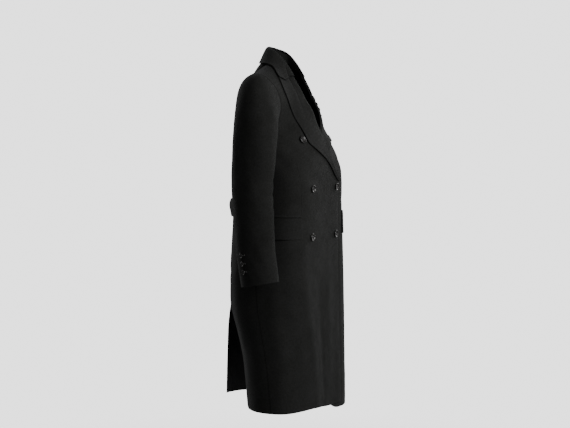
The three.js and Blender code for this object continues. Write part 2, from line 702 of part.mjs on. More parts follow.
// ---------------------------------------------------------------- belt and pockets
const BELT = { top: -443, bottom: -500, wall: 5, offset: 6.4, slack: 3.5 };
const BELT_END_DEGREES = 96;
const BELT_SLACK_SPREAD = 1.07; // how soon the slack ends towards the side seams

function beltPoint(w, v) {
  const turn = mix(-(180 - BELT_END_DEGREES), 180 - BELT_END_DEGREES, w);
  const side = turn < 0 ? RIGHT : LEFT;
  const angle = Math.PI - radians(Math.abs(turn));
  const z = mix(BELT.bottom, BELT.top, v);
  const slack = BELT.slack * Math.cos(radians(turn) * BELT_SLACK_SPREAD) ** 2;
  return bodyPoint(side, angle, z).addScaledVector(bodyNormal(side, angle, z), BELT.offset + slack);
}

// The pocket's height and sizes; round is the body's radius where it lies.
const POCKET = { mouth: -497, flap: 68, front: 143, length: 148, jet: 7, round: 190 };
const POCKET_FLAP = { lift: 4.1, wall: CLOTH, columns: 10, rows: 3 };
const POCKET_JET = { lift: 3.7, wall: 2.6, columns: 10, rows: 1 };
const JET_ABOVE_FLAP = 0.6;

// A strip that lies on the front between two heights, from the pocket's front end back.
function pocketStrip(side, top, bottom, strip) {
  const surface = (u, v) => {
    const z = mix(bottom, top, v);
    const from = angleAt(side, POCKET.front, z, true);
    const angle = from + (POCKET.length / POCKET.round) * u;
    const normal = bodyNormal(side, angle, z);
    return bodyPoint(side, angle, z).addScaledVector(normal, strip.lift);
  };
  return clothWall(surface, evenSteps(strip.columns), evenSteps(strip.rows), side, strip.wall);
}

function bodyNormal(side, angle, z) {
  const surface = (u, v) => bodyPoint(side, u, v);
  const step = 0.01;
  const alongU = surface(angle + step, z).sub(surface(angle - step, z));
  const alongV = surface(angle, z + 2).sub(surface(angle, z - 2));
  return alongU.cross(alongV).normalize().multiplyScalar(side);
}

// ---------------------------------------------------------------- the turn of the shoulders
// How far the worn coat is turned about Z at a height.
function twistAt(z) {
  return radians(mix(TWIST.hips, TWIST.shoulders, smoothstep(TWIST.from, TWIST.to, z)));
}

function twisted(geometry) {
  const position = geometry.getAttribute('position');
  const point = new THREE.Vector3();
  const up = new THREE.Vector3(0, 0, 1);
  for (let i = 0; i < position.count; i += 1) {
    point.fromBufferAttribute(position, i);
    point.applyAxisAngle(up, twistAt(point.z));
    position.setXYZ(i, point.x, point.y, point.z);
  }
  geometry.computeVertexNormals();
  return geometry;
}

// ---------------------------------------------------------------- buttons
// A turned button with a raised rim and a dished face, its back on z = 0.
function buttonGeometry({ radius, height, segments }) {
  const profile = [
    [0, 0],
    [radius * 0.82, 0],
    [radius, height * 0.45],
    [radius * 0.93, height],
    [radius * 0.7, height * 0.82],
    [0, height * 0.72],
  ].map(([x, y]) => new THREE.Vector2(x, y));
  const geometry = new THREE.LatheGeometry(profile, segments);
  geometry.rotateX(Math.PI / 2);
  geometry.deleteAttribute('uv');
  geometry.deleteAttribute('normal');
  const merged = mergeVertices(geometry, 1e-4);
  merged.computeVertexNormals();
  return merged;
}

// Puts a button on its place in the turned coat, its back towards the cloth.
function seat(mesh, point, normal, gap) {
  const up = new THREE.Vector3(0, 0, 1);
  const turn = twistAt(point.z);
  const facing = normal.clone().applyAxisAngle(up, turn);
  mesh.position.copy(point).applyAxisAngle(up, turn).addScaledVector(facing, gap);
  mesh.quaternion.setFromUnitVectors(up, facing);
  return mesh;
}

// Front buttons: height and distance from the centre line.
const FRONT_BUTTONS = [
  { name: 'top', z: -255, e: 120 },
  { name: 'middle', z: -409, e: 87 },
  { name: 'bottom', z: -562, e: 87 },
];
const CUFF_BUTTONS = [-604, -629, -654];
const CUFF_BUTTON_ANGLE = -30;
const FRONT_BUTTON = { radius: BUTTON_RADIUS, height: 5, segments: 14, seat: 0.5 };
// The flat facets of the sleeve lie inside its curve, and so do the cuff buttons' seats.
const CUFF_BUTTON = { radius: CUFF_BUTTON_RADIUS, height: 3.6, segments: 10, seat: -0.5 };

// ---------------------------------------------------------------- the coat
const wool = new THREE.MeshStandardMaterial({ color: 0x1d1e20, roughness: 0.95, metalness: 0 });
const horn = new THREE.MeshStandardMaterial({ color: 0x0b0b0c, roughness: 0.3, metalness: 0 });

const coat = new THREE.Group();

function add(name, geometry, material) {
  const mesh = new THREE.Mesh(geometry, material);
  mesh.name = name;
  coat.add(mesh);
  return mesh;
}

const addCloth = (name, geometry) => add(name, twisted(geometry), wool);
const sideName = (side) => (side === RIGHT ? 'right' : 'left');

for (const side of [RIGHT, LEFT]) {
  const label = sideName(side);
  const mouth = POCKET.mouth;
  const flap = pocketStrip(side, mouth, mouth - POCKET.flap, POCKET_FLAP);
  const jet = pocketStrip(side, mouth + POCKET.jet, mouth + JET_ABOVE_FLAP, POCKET_JET);
  addCloth(`front_${label}`, frontPanel(side));
  addCloth(`back_${label}`, backPanel(side));
  addCloth(`top_sleeve_${label}`, sleevePiece(side, HIND_SEAM_ANGLE, FORE_SEAM_ANGLE));
  addCloth(`under_sleeve_${label}`, sleevePiece(side, FORE_SEAM_ANGLE, 360 + HIND_SEAM_ANGLE));
  addCloth(`lapel_${label}`, lapelPiece(side));
  addCloth(`pocket_flap_${label}`, flap);
  addCloth(`pocket_jet_${label}`, jet);
}

const collarColumns = evenSteps(22);
addCloth('collar_stand', clothWall(collarStandPoint, collarColumns, evenSteps(2), -1, STAND_WALL));
addCloth('collar_fall', clothWall(collarFallPoint, collarColumns, FALL_ROWS, -1));
addCloth('half_belt', clothWall(beltPoint, evenSteps(24), evenSteps(2), -1, BELT.wall));

const frontButton = buttonGeometry(FRONT_BUTTON);
for (const side of [RIGHT, LEFT]) {
  for (const row of FRONT_BUTTONS) {
    const onLeftFront = side === LEFT && row.name === 'top';
    const front = onLeftFront ? LEFT : RIGHT;
    const e = side === front ? row.e : -row.e;
    const place = frontAt(front, e, row.z);
    const mesh = add(`button_${row.name}_${sideName(side)}`, frontButton.clone(), horn);
    seat(mesh, place.point, place.normal, FRONT_BUTTON.seat);
  }
}

const cuffButton = buttonGeometry(CUFF_BUTTON);
for (const side of [RIGHT, LEFT]) {
  CUFF_BUTTONS.forEach((z, i) => {
    const angle = radians(CUFF_BUTTON_ANGLE);
    const point = sleeveRing(side, angle, z);
    const ahead = sleeveRing(side, angle + 0.01, z).sub(point);
    const below = sleeveRing(side, angle, z - 1).sub(point);
    const normal = ahead.cross(below).normalize().multiplyScalar(side);
    const mesh = add(`cuff_button_${i + 1}_${sideName(side)}`, cuffButton.clone(), horn);
    seat(mesh, point, normal, CUFF_BUTTON.seat);
  });
}

export default coat;
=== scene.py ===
"""The looks of the long double-breasted overcoat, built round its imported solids.

The cloth pieces are shells on the forms of the part, finer than its walls, with the creases,
rounded edges and seams of heavy wool. Lengths are in millimetres until a mesh is made. +Z is
up, the wearer's left is +X, the front faces -Y, and e is a distance from the centre line
towards the piece's own side.
"""

import math

import bpy
import numpy as np
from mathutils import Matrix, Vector


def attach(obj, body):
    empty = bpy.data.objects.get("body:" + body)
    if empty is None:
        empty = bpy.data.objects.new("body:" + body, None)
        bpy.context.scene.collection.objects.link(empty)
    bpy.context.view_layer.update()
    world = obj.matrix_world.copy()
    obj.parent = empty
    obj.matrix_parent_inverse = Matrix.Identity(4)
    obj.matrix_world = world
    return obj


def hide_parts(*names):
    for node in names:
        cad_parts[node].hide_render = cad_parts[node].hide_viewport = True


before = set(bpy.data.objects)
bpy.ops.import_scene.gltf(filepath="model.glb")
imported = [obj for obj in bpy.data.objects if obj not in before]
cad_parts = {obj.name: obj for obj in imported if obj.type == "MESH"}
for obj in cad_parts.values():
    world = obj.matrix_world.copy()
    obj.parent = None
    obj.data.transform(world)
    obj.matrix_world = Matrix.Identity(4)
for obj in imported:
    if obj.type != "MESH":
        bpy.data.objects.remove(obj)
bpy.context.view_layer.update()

# ------------------------------------------------------------------ driving dimensions
MM = 0.001
CLOTH = 3.0
SEAM_GAP = 0.3
LAYER_GAP = 1.2
HEM_Z = -1106.0
ARMPIT_Z = -237.0
BREAK_Z = -393.0
OVERLAP = 109.0
SHOULDER = {"e": 214.0, "y": 23.0, "z": -50.0}
VENT_TOP_Z = -640.0
VENT_UNDERLAP = 46.0
VENT_SINK = 16.0
HEM_DIP = {"edge": 9.0, "pocket": 26.0}
TWIST = {"hips": -2.5, "shoulders": 7.1, "from": -430.0, "to": -90.0}
BUTTON_RADIUS = 12.0
CUFF_BUTTON_RADIUS = 7.5
RIGHT, LEFT = -1, 1
SIDES = {RIGHT: "right", LEFT: "left"}


def table(columns, *rows):
    """Rows of numbers under named columns, kept as one array for each column."""
    names = columns.split()
    return {name: np.array([row[i] for row in rows], float) for i, name in enumerate(names)}


# ------------------------------------------------------------------ tables of the cut
# How wide, deep and square the body is at each height.
BODY_LEVELS = table(
    "z half_width front back right_corner left_corner back_corner",
    (-1106, 232, 154, 184, 3.0, 4.2, 2.2),
    (-940, 225, 150, 176, 3.4, 4.8, 2.2),
    (-787, 216, 147, 163, 3.8, 5.2, 2.3),
    (-655, 205, 146, 150, 4.0, 5.6, 2.4),
    (-509, 192, 145, 143, 4.2, 6.0, 2.4),
    (-440, 187, 146, 144, 4.2, 6.0, 2.4),
    (-350, 189, 150, 146, 3.8, 5.0, 2.4),
    (-290, 192, 142, 146, 2.7, 3.2, 2.3),
    (-237, 196, 130, 144, 2.0, 2.0, 2.3),
)
SKIRT_LEVELS = {
    RIGHT: table(
        "z middle tuck",
        (-1103, -72, 94),
        (-940, -50, 67),
        (-860, -32, 40),
        (-787, -16, 11),
        (-700, -6, 2),
        (-640, -2, 0),
        (-509, 0, 0),
        (-440, 0, 0),
        (-237, 0, 0),
    ),
    LEFT: table(
        "z middle tuck",
        (-1103, -12, 0),
        (-787, -6, 0),
        (-700, -4, 0),
        (-640, -2, 0),
        (-509, 0, 0),
        (-440, 0, 0),
        (-237, 0, 0),
    ),
}
FLARE_LEVELS = table(
    "z across out",
    (-1103, 36, 48),
    (-940, 32, 49),
    (-860, 26, 48),
    (-787, 17, 38),
    (-720, 7, 18),
    (-640, 0, 0),
)
FLUTES = table(
    "angle width depth",
    (38, 11, 3.5),
    (66, 12, -4),
    (98, 13, 5),
    (128, 12, -5),
    (154, 11, 4),
)
FLUTE_TOP_Z = -620.0
ROLL_LOW = table("z e", (-393, -109), (-365, -76), (-338, -49), (-289, -12), (-237, 15))
ROLL_HIGH = table(
    "z e y",
    (-200, 27, -116),
    (-163, 38, -104),
    (-128, 48, -84),
    (-100, 55, -71),
    (-76, 59, -58),
    (-55, 61, -46),
)
ROLL_LINE = {name: np.concatenate([ROLL_LOW[name], ROLL_HIGH[name]]) for name in ("z", "e")}
LAPEL_ROWS = table(
    "row roll e z",
    (0, -390, -98, -392),
    (1, -369, -66, -371),
    (2, -345, -37, -345),
    (3, -318, -3, -320),
    (4, -292, 28, -304),
    (5, -266, 58, -290),
    (6, -242, 94, -269),
    (7, -216, 105, -246),
    (8, -182, 112, -208),
    (9, -132, 131, -146),
    (10, -90, 145, -98),
    (11, -55, 139, -62),
)
LAPEL_LAST_ROW = 11
NOTCH_SHARE = 0.62
NOTCH_DROP = 13.0
NECK_SEAM = table("e y z", (61, -45, -55), (68, -25, -32), (77, 9, -8), (56, 45, -3), (0, 61, 0))
COLLAR_FOLD = table("e y z", (60, -46, -48), (63, -24, -14), (68, 9, 20), (47, 37, 33), (0, 50, 38))
COLLAR_EDGE = table(
    "e y z", (122, -22, -47), (122, 0, -25), (113, 23, -16), (80, 54, -15), (0, 75, -9)
)
COLLAR_ROLL = 1.8
SLEEVE_LEVELS = table(
    "z e right_y left_y across breadth slope",
    (-262, 249, -4, 16, 46, 72, 0),
    (-350, 256, -16, 5, 45, 70.5, 0.02),
    (-470, 264, -28, -5, 43, 67, 0.06),
    (-590, 269, -38, -9, 41, 65, 0.12),
    (-698, 272, -55, -14, 39, 62.5, 0.18),
)
FORE_SEAM_ANGLE = 120.0
HIND_SEAM_ANGLE = -60.0


# ------------------------------------------------------------------ small mathematics
def mix(a, b, t):
    return a + (b - a) * t


def smoothstep(start, end, value):
    t = np.clip((value - start) / (end - start), 0, 1)
    return t * t * (3 - 2 * t)


def points(x, y, z):
    return np.stack(np.broadcast_arrays(x, y, z), axis=-1).astype(float)


def unit(v):
    return v / np.maximum(np.linalg.norm(v, axis=-1, keepdims=True), 1e-9)


def hermite(start, start_slope, end, end_slope, t):
    t2, t3 = t * t, t * t * t
    return (
        (2 * t3 - 3 * t2 + 1) * start
        + (t3 - 2 * t2 + t) * start_slope
        + (3 * t2 - 2 * t3) * end
        + (t3 - t2) * end_slope
    )


def column(rows, key, name, value):
    """A smooth curve through a table's rows, for one named column against another."""
    order = np.argsort(rows[key])
    xs, ys = rows[key][order], rows[name][order]
    before, after = np.maximum(np.arange(len(xs)) - 1, 0), np.minimum(np.arange(len(xs)) + 1, len(xs) - 1)
    slopes = (ys[after] - ys[before]) / (xs[after] - xs[before])
    value = np.asarray(value, float)
    i = np.clip(np.searchsorted(xs, value) - 1, 0, len(xs) - 2)
    width = xs[i + 1] - xs[i]
    t = (value - xs[i]) / width
    inside = hermite(ys[i], slopes[i] * width, ys[i + 1], slopes[i + 1] * width, np.clip(t, 0, 1))
    below = np.minimum(t, 0) * width * slopes[i]
    above = np.maximum(t - 1, 0) * width * slopes[i + 1]
    return inside + below + above


def curve_point(rows, side, t):
    """A point on a centripetal Catmull-Rom curve through a table of e, y and z."""
    knots = np.stack([rows["e"], rows["y"], rows["z"]], axis=-1)
    knots = np.vstack([2 * knots[0] - knots[1], knots, 2 * knots[-1] - knots[-2]])
    last = len(rows["e"]) - 2
    place = np.asarray(t, float) * (last + 1)
    i = np.clip(np.floor(place).astype(int), 0, last)
    weight = (place - i)[..., None]
    p0, p1, p2, p3 = (knots[i + k] for k in range(4))
    d0, d1, d2 = (
        np.linalg.norm(b - a, axis=-1, keepdims=True) ** 0.5 for a, b in ((p0, p1), (p1, p2), (p2, p3))
    )
    leave = ((p1 - p0) / d0 - (p2 - p0) / (d0 + d1) + (p2 - p1) / d1) * d1
    arrive = ((p2 - p1) / d1 - (p3 - p1) / (d1 + d2) + (p3 - p2) / d2) * d1
    return hermite(p1, leave, p2, arrive, weight) * np.array([side, 1, 1])


# ------------------------------------------------------------------ the body's form
def flute_at(angle, z):
    fall = smoothstep(FLUTE_TOP_Z, HEM_Z, z)
    degrees = np.degrees(np.abs(angle))
    rows = zip(FLUTES["angle"], FLUTES["width"], FLUTES["depth"])
    return sum(depth * fall * np.exp(-(((degrees - at) / width) ** 2)) for at, width, depth in rows)


def section_at(side, z, faces_front, crosses):
    """The body's section: its middle, half width, depth and squareness."""
    own_side = np.where(faces_front & crosses, -side, side)

    def skirt(name):
        right, left = (column(SKIRT_LEVELS[s], "z", name, z) for s in (RIGHT, LEFT))
        return np.where(own_side == RIGHT, right, left)

    def level(name):
        return column(BODY_LEVELS, "z", name, z)

    middle = skirt("middle")
    front_corner = np.where(own_side == RIGHT, level("right_corner"), level("left_corner"))
    depth = np.where(faces_front, level("front") + middle, level("back") - middle - skirt("tuck"))
    power = np.where(faces_front, front_corner, level("back_corner"))
    return middle, level("half_width"), depth, power


def body_point(side, angle, z):
    sine, cosine = np.sin(angle), np.cos(angle)
    middle, half_width, depth, power = section_at(side, z, cosine > 0, sine < 0)
    across = np.abs(sine / half_width) ** power
    through = np.abs(cosine / depth) ** power
    radius = (across + through) ** (-1 / power) + flute_at(angle, z)
    return points(side * radius * sine, middle - radius * cosine, z)


def angle_at(side, e, z, faces_front):
    _, half_width, depth, power = section_at(side, z, np.bool_(faces_front), np.asarray(e) < 0)
    share = np.minimum(0.999, np.abs(e / half_width))
    y = depth * (1 - share**power) ** (1 / power)
    return np.arctan2(e, y) if faces_front else math.pi - np.arctan2(e, y)


# ------------------------------------------------------------------ armhole and shoulder
ARMHOLE_BOTTOM_E = 196.0
ARMHOLE_HALF_HEIGHT = (SHOULDER["z"] - ARMPIT_Z) / 2
ARMHOLE_MIDDLE_Z = (SHOULDER["z"] + ARMPIT_Z) / 2
ARMHOLE_BOW = {"front": 58.0, "back": 76.0}
ARMHOLE_HOLLOW = {"front": 27.0, "back": 14.0}
ARMHOLE_REACH = 0.24
NECK_SHARE = 0.36
SHOULDER_SAG = 4.0
YOKE_RISE = 215.0
FRONT_OVER = {"shoulder": 90.0, "neck": 70.0, "neck_up": 90.0}
BACK_OVER = {"shoulder": 175.0, "neck": 245.0, "neck_up": 35.0}


def armhole_point(side, angle):
    cosine, sine = np.cos(angle), np.sin(angle)
    rise = (1 + cosine) / 2
    ahead = sine > 0
    bow = np.where(ahead, ARMHOLE_BOW["front"], ARMHOLE_BOW["back"])
    hollow = np.where(ahead, ARMHOLE_HOLLOW["front"], ARMHOLE_HOLLOW["back"]) * sine * sine
    e = mix(ARMHOLE_BOTTOM_E, SHOULDER["e"], rise * rise) - hollow
    return points(side * e, SHOULDER["y"] * rise - bow * sine, ARMHOLE_MIDDLE_Z + ARMHOLE_HALF_HEIGHT * cosine)


def top_edge_point(side, u, faces_front):
    along_neck = np.clip(u / NECK_SHARE, 0, 1)
    neck = curve_point(NECK_SEAM, side, along_neck / 2 if faces_front else 1 - along_neck / 2)
    t = np.clip((u - NECK_SHARE) / (1 - NECK_SHARE), 0, 1)
    sag = SHOULDER_SAG * np.sin(math.pi * t)
    shoulder = points(
        side * mix(NECK_SEAM["e"][2], SHOULDER["e"], t),
        mix(NECK_SEAM["y"][2], SHOULDER["y"], t),
        mix(NECK_SEAM["z"][2], SHOULDER["z"], t) - sag,
    )
    return np.where((u < NECK_SHARE)[..., None], neck, shoulder)


def yoke_point(side, u, t, faces_front, low, inner_curve):
    """The panel between the armpits (t = 0) and its top edge (t = 1)."""
    lean = 1 if faces_front else -1
    over = FRONT_OVER if faces_front else BACK_OVER
    reach = 1 - ARMHOLE_REACH * np.sin(math.pi * t)

    def column_point(at):
        base = low(at * reach, ARMPIT_Z + 0 * t)
        rise = (base - low(at * reach, ARMPIT_Z - 4 + 0 * t)) * (YOKE_RISE / 4)
        neck_part = 1 - smoothstep(NECK_SHARE * 0.5, NECK_SHARE * 1.3, at)
        arrive = points(
            0 * t, lean * mix(over["shoulder"], over["neck"], neck_part), mix(0, over["neck_up"], neck_part)
        )
        return hermite(base, rise, top_edge_point(side, at, faces_front), arrive, t[..., None])

    point = column_point(u)
    outer_shift = armhole_point(side, math.pi * (1 - t) * lean) - column_point(np.ones_like(u))
    inner_shift = inner_curve(t) - column_point(np.zeros_like(u))
    point += outer_shift * smoothstep(0.25, 1, u)[..., None]
    point += inner_shift * (1 - smoothstep(0, 0.5, u))[..., None]
    return point


# ------------------------------------------------------------------ fronts
FOLD_DEPTH = 8.5


def level_z(v):
    return mix(HEM_Z, ARMPIT_Z, v)


def inner_edge(z):
    return np.where(z <= BREAK_Z, -OVERLAP, column(ROLL_LOW, "z", "e", np.maximum(z, BREAK_Z)))


def underlay(side, e, z):
    """How far the left front lies under the right one."""
    if side == RIGHT:
        return 0 * z
    covered = 1 - smoothstep(95, 140, e)
    fold_level = smoothstep(-450, -395, z) * (1 - smoothstep(-252, -212, z))
    fold_covered = 1 - smoothstep(22, 75, e)
    buttoned = 1 - smoothstep(-240, -190, z)
    return (CLOTH + LAYER_GAP) * covered * buttoned + FOLD_DEPTH * fold_level * fold_covered


def front_low(side, at, z):
    start = angle_at(side, inner_edge(z), z, True)
    point = body_point(side, mix(start, math.pi / 2, at), z)
    point[..., 1] += underlay(side, side * point[..., 0], z)
    return point


def front_hem(side, u, z):
    at_edge = HEM_DIP["edge"] * (1 - smoothstep(0.1, 0.75, u))
    beside_pocket = HEM_DIP["pocket"] * smoothstep(0.4, 0.62, u) * (1 - smoothstep(0.78, 1, u))
    return z - (at_edge if side == RIGHT else beside_pocket) * smoothstep(HEM_Z + 260, HEM_Z, z)


def roll_depth(side):
    e, z = ROLL_LOW["e"][-1], np.float64(ARMPIT_Z)
    point = body_point(side, angle_at(side, e, z, True), z)
    return point[1] + underlay(side, e, z)


def roll_point(side, z):
    e = column(ROLL_LINE, "z", "e", z)
    upper = {
        "z": np.concatenate([[ARMPIT_Z], ROLL_HIGH["z"]]),
        "y": np.concatenate([[roll_depth(side)], ROLL_HIGH["y"]]),
    }
    return points(side * e, np.where(z < ARMPIT_Z, 0, column(upper, "z", "y", z)), z)


def front_point(side, u, v):
    u, v = np.broadcast_arrays(np.asarray(u, float), np.asarray(v, float))
    below = front_low(side, u, front_hem(side, u, level_z(np.minimum(v, 1))))
    above = yoke_point(
        side,
        u,
        np.clip(v - 1, 0, 1),
        True,
        lambda at, z: front_low(side, at, z),
        lambda t: roll_point(side, mix(ARMPIT_Z, ROLL_LINE["z"][-1], t)),
    )
    return np.where((v <= 1)[..., None], below, above)


def front_at(side, e, z):
    """The front's surface and its normal at a distance e and a height z, by Newton's method."""
    e, z = (a.astype(float) for a in np.broadcast_arrays(e, z))
    step = 1e-3
    u = np.full(e.shape, 0.4)
    v = np.where(z < ARMPIT_Z, (z - HEM_Z) / (ARMPIT_Z - HEM_Z), 1 + (z - ARMPIT_Z) / (-20 - ARMPIT_Z))
    for _ in range(30):
        here = front_point(side, u, v)
        along_u = (front_point(side, u + step, v) - here) / step
        along_v = (front_point(side, u, v + step) - here) / step
        miss_e, miss_z = e - side * here[..., 0], z - here[..., 2]
        turn = side * (along_u[..., 0] * along_v[..., 2] - along_v[..., 0] * along_u[..., 2])
        move_u = (miss_e * along_v[..., 2] - miss_z * side * along_v[..., 0]) / turn
        move_v = (miss_z * side * along_u[..., 0] - miss_e * along_u[..., 2]) / turn
        u = np.clip(u + 0.8 * np.clip(move_u, -0.2, 0.2), 0, 1)
        v = np.clip(v + 0.8 * np.clip(move_v, -0.2, 0.2), 0, 1.998)
    wide = 2e-3
    along_u = front_point(side, np.minimum(u + wide, 1), v) - front_point(side, np.maximum(u - wide, 0), v)
    along_v = front_point(side, u, np.minimum(v + wide, 2)) - front_point(side, u, np.maximum(v - wide, 0))
    return front_point(side, u, v), unit(np.cross(along_u, along_v)) * side


# ------------------------------------------------------------------ backs
def back_low(side, at, z):
    edge = 0 * z if side == LEFT else -VENT_UNDERLAP * smoothstep(VENT_TOP_Z - VENT_SINK, VENT_TOP_Z - 60, z)
    angle = mix(math.pi / 2, angle_at(side, edge, z, False), at)
    point = body_point(side, angle, z)
    if side == LEFT:
        swing = smoothstep(math.radians(105), math.pi, angle) ** 1.5
        open_part = z < VENT_TOP_Z
        point[..., 0] += np.where(open_part, column(FLARE_LEVELS, "z", "across", z), 0) * swing
        point[..., 1] += np.where(open_part, column(FLARE_LEVELS, "z", "out", z), 0) * swing
    else:
        under = smoothstep(math.radians(150), math.radians(176), angle)
        sunk = smoothstep(VENT_TOP_Z, VENT_TOP_Z - VENT_SINK, z)
        point[..., 1] -= (CLOTH + LAYER_GAP) * under * sunk
    return point


def back_point(side, u, v):
    u, v = np.broadcast_arrays(np.asarray(u, float), np.asarray(v, float))
    centre = back_low(side, np.float64(1), np.float64(ARMPIT_Z))
    nape = np.array([0, NECK_SEAM["y"][-1], NECK_SEAM["z"][-1]])
    rise, over = np.array([0, 12, 240]), np.array([0, -100, 90])
    above = yoke_point(
        side,
        1 - u,
        np.clip(v - 1, 0, 1),
        False,
        lambda at, z: back_low(side, 1 - at, z),
        lambda t: hermite(centre, rise, nape, over, t[..., None]),
    )
    return np.where((v <= 1)[..., None], back_low(side, u, level_z(np.minimum(v, 1))), above)


# ------------------------------------------------------------------ sleeves
def sleeve_ring(side, angle, z):
    def level(name):
        return column(SLEEVE_LEVELS, "z", name, z)

    y = -level("breadth") * np.sin(angle)
    e = level("e") + level("across") * np.cos(angle)
    middle = level("right_y" if side == RIGHT else "left_y")
    return points(side * e, middle + y, z - level("slope") * y)


def sleeve_point(side, angle, v):
    angle, v = np.broadcast_arrays(np.asarray(angle, float), np.asarray(v, float))
    top, cuff = SLEEVE_LEVELS["z"][0], SLEEVE_LEVELS["z"][-1]
    arm = sleeve_ring(side, angle, mix(top, cuff, np.maximum(v, 0)))
    seam, ring = armhole_point(side, angle), sleeve_ring(side, angle, top + 0 * angle)
    chord = np.linalg.norm(ring - seam, axis=-1, keepdims=True)
    crown = (1 + np.cos(angle)) / 2
    leave = points(side * mix(0.75, 0.97, crown), 0 * crown, mix(-0.66, -0.2, crown))
    arrive = unit(sleeve_ring(side, angle, top - 1 + 0 * angle) - ring)
    head = hermite(
        seam + leave * SLEEVE_START,
        leave * chord * mix(0.9, 0.95, crown)[..., None],
        ring,
        arrive * chord * 1.15,
        np.minimum(v + 1, 1)[..., None],
    )
    return np.where((v >= 0)[..., None], arm, head)


SLEEVE_START = 2 * SEAM_GAP


# ------------------------------------------------------------------ collar and lapels
LAPEL_LIFT = 7.8
LAPEL_REST = 4.8
LAPEL_CURL = 6.2


def collar_curve(rows, w):
    right, left = curve_point(rows, RIGHT, 2 * np.minimum(w, 0.5)), curve_point(rows, LEFT, 2 - 2 * np.maximum(w, 0.5))
    return np.where((w < 0.5)[..., None], right, left)


def collar_stand_point(w, v):
    w, v = np.broadcast_arrays(w, v)
    seam, fold = collar_curve(NECK_SEAM, w), collar_curve(COLLAR_FOLD, w)
    up = unit(fold - seam)
    start = seam + up * SEAM_GAP * 2
    return start + (fold - up * COLLAR_ROLL - start) * v[..., None]


def collar_fall_point(w, v):
    w, v = np.broadcast_arrays(w, v)

    def rolled(at):
        fold, edge = collar_curve(COLLAR_FOLD, at), collar_curve(COLLAR_EDGE, at)
        outwards = unit((edge - fold) * np.array([1, 1, 0]))
        inside = fold - outwards * 2.8 + np.array([0, 0, 2])
        over = outwards * 26 + np.array([0, 0, 8])
        return hermite(inside, over, edge, (edge - fold) * 1.05, v[..., None])

    near_right, near_left = lapel_top(RIGHT, v) - rolled(0 * w), lapel_top(LEFT, v) - rolled(0 * w + 1)
    drawn = np.where((w < 0.5)[..., None], near_right, near_left)
    from_end = np.minimum(w, 1 - w)
    return rolled(w) + drawn * (1 - smoothstep(0, 0.13, from_end))[..., None]


def lapel_place(side, u, row):
    roll_z = column(LAPEL_ROWS, "row", "roll", row)
    roll = roll_point(side, roll_z)
    across = np.maximum(0, (u - 0.05) / 0.95)
    away = np.abs(u - NOTCH_SHARE) / np.where(u < NOTCH_SHARE, NOTCH_SHARE, 1 - NOTCH_SHARE)
    near_top = smoothstep(LAPEL_LAST_ROW - 2, LAPEL_LAST_ROW, row)
    e = mix(side * roll[..., 0], column(LAPEL_ROWS, "row", "e", row), across)
    z = mix(roll_z, column(LAPEL_ROWS, "row", "z", row), across)
    return e, z - NOTCH_DROP * np.maximum(0, 1 - away) * near_top


def lapel_point(side, u, row):
    u, row = np.broadcast_arrays(np.asarray(u, float), np.asarray(row, float))
    e, z = lapel_place(side, u, row)
    point, normal = front_at(side, e, z)
    curl = np.minimum(1, u / 0.12)
    lift = mix(LAPEL_LIFT, LAPEL_REST, u**0.7) * np.sin(curl * math.pi / 2)
    outwards = unit(np.cross(np.array([0, 0, 1.0]), normal)) * side
    return point + normal * lift[..., None] - outwards * (LAPEL_CURL * (1 - curl) ** 1.5)[..., None]


def lapel_top(side, v):
    unique, back = np.unique(v, return_inverse=True)
    edge = lapel_point(side, unique, LAPEL_LAST_ROW + 0 * unique)
    edge[:, 2] += mix(0.35, 1.1, smoothstep(NOTCH_SHARE, 1, unique))
    return edge[back.reshape(-1)].reshape(v.shape + (3,))


# ------------------------------------------------------------------ belt and pockets
BELT = {"top": -443.0, "bottom": -500.0, "wall": 3.8, "offset": 4.3, "slack": 4.6, "bow": 6.0, "end": 96.0}
POCKET = {"mouth": -497.0, "flap": 68.0, "front": 143.0, "length": 148.0, "jet": 7.0}


def body_normal(side, angle, z):
    along_u = body_point(side, angle + 0.01, z) - body_point(side, angle - 0.01, z)
    along_v = body_point(side, angle, z + 2) - body_point(side, angle, z - 2)
    return unit(np.cross(along_u, along_v)) * side


def belt_point(w, v):
    w, v = np.broadcast_arrays(w, v)
    turn = mix(-(180 - BELT["end"]), 180 - BELT["end"], w)
    angle = math.pi - np.radians(np.abs(turn))
    z = mix(BELT["bottom"], BELT["top"], v)
    loose = np.cos(np.radians(turn) * 1.07) ** 2
    bow = BELT["bow"] * np.sin(math.pi * v**1.5) * (1 - smoothstep(60, 84, np.abs(turn)))
    out = BELT["offset"] + BELT["slack"] * loose + bow
    sides = [body_point(s, angle, z) + body_normal(s, angle, z) * out[..., None] for s in (RIGHT, LEFT)]
    return np.where((turn < 0)[..., None], *sides)


def pocket_point(side, top, bottom, lift):
    def surface(u, v):
        u, v = np.broadcast_arrays(u, v)
        z = mix(bottom, top, v)
        angle = angle_at(side, POCKET["front"] + 0 * z, z, True) + POCKET["length"] / 190 * u
        return body_point(side, angle, z) + body_normal(side, angle, z) * lift

    return surface


# ------------------------------------------------------------------ the turn of the shoulders
def twist_at(z):
    return np.radians(mix(TWIST["hips"], TWIST["shoulders"], smoothstep(TWIST["from"], TWIST["to"], z)))


def twisted(point):
    """The place of a point once the shoulders are turned on the hips, in metres."""
    turn = twist_at(point[..., 2])
    x, y = point[..., 0], point[..., 1]
    return points(
        x * np.cos(turn) - y * np.sin(turn), x * np.sin(turn) + y * np.cos(turn), point[..., 2]
    ) * MM


def turned(direction, z):
    turn = twist_at(z)
    x, y = direction[..., 0], direction[..., 1]
    return points(x * np.cos(turn) - y * np.sin(turn), x * np.sin(turn) + y * np.cos(turn), direction[..., 2])


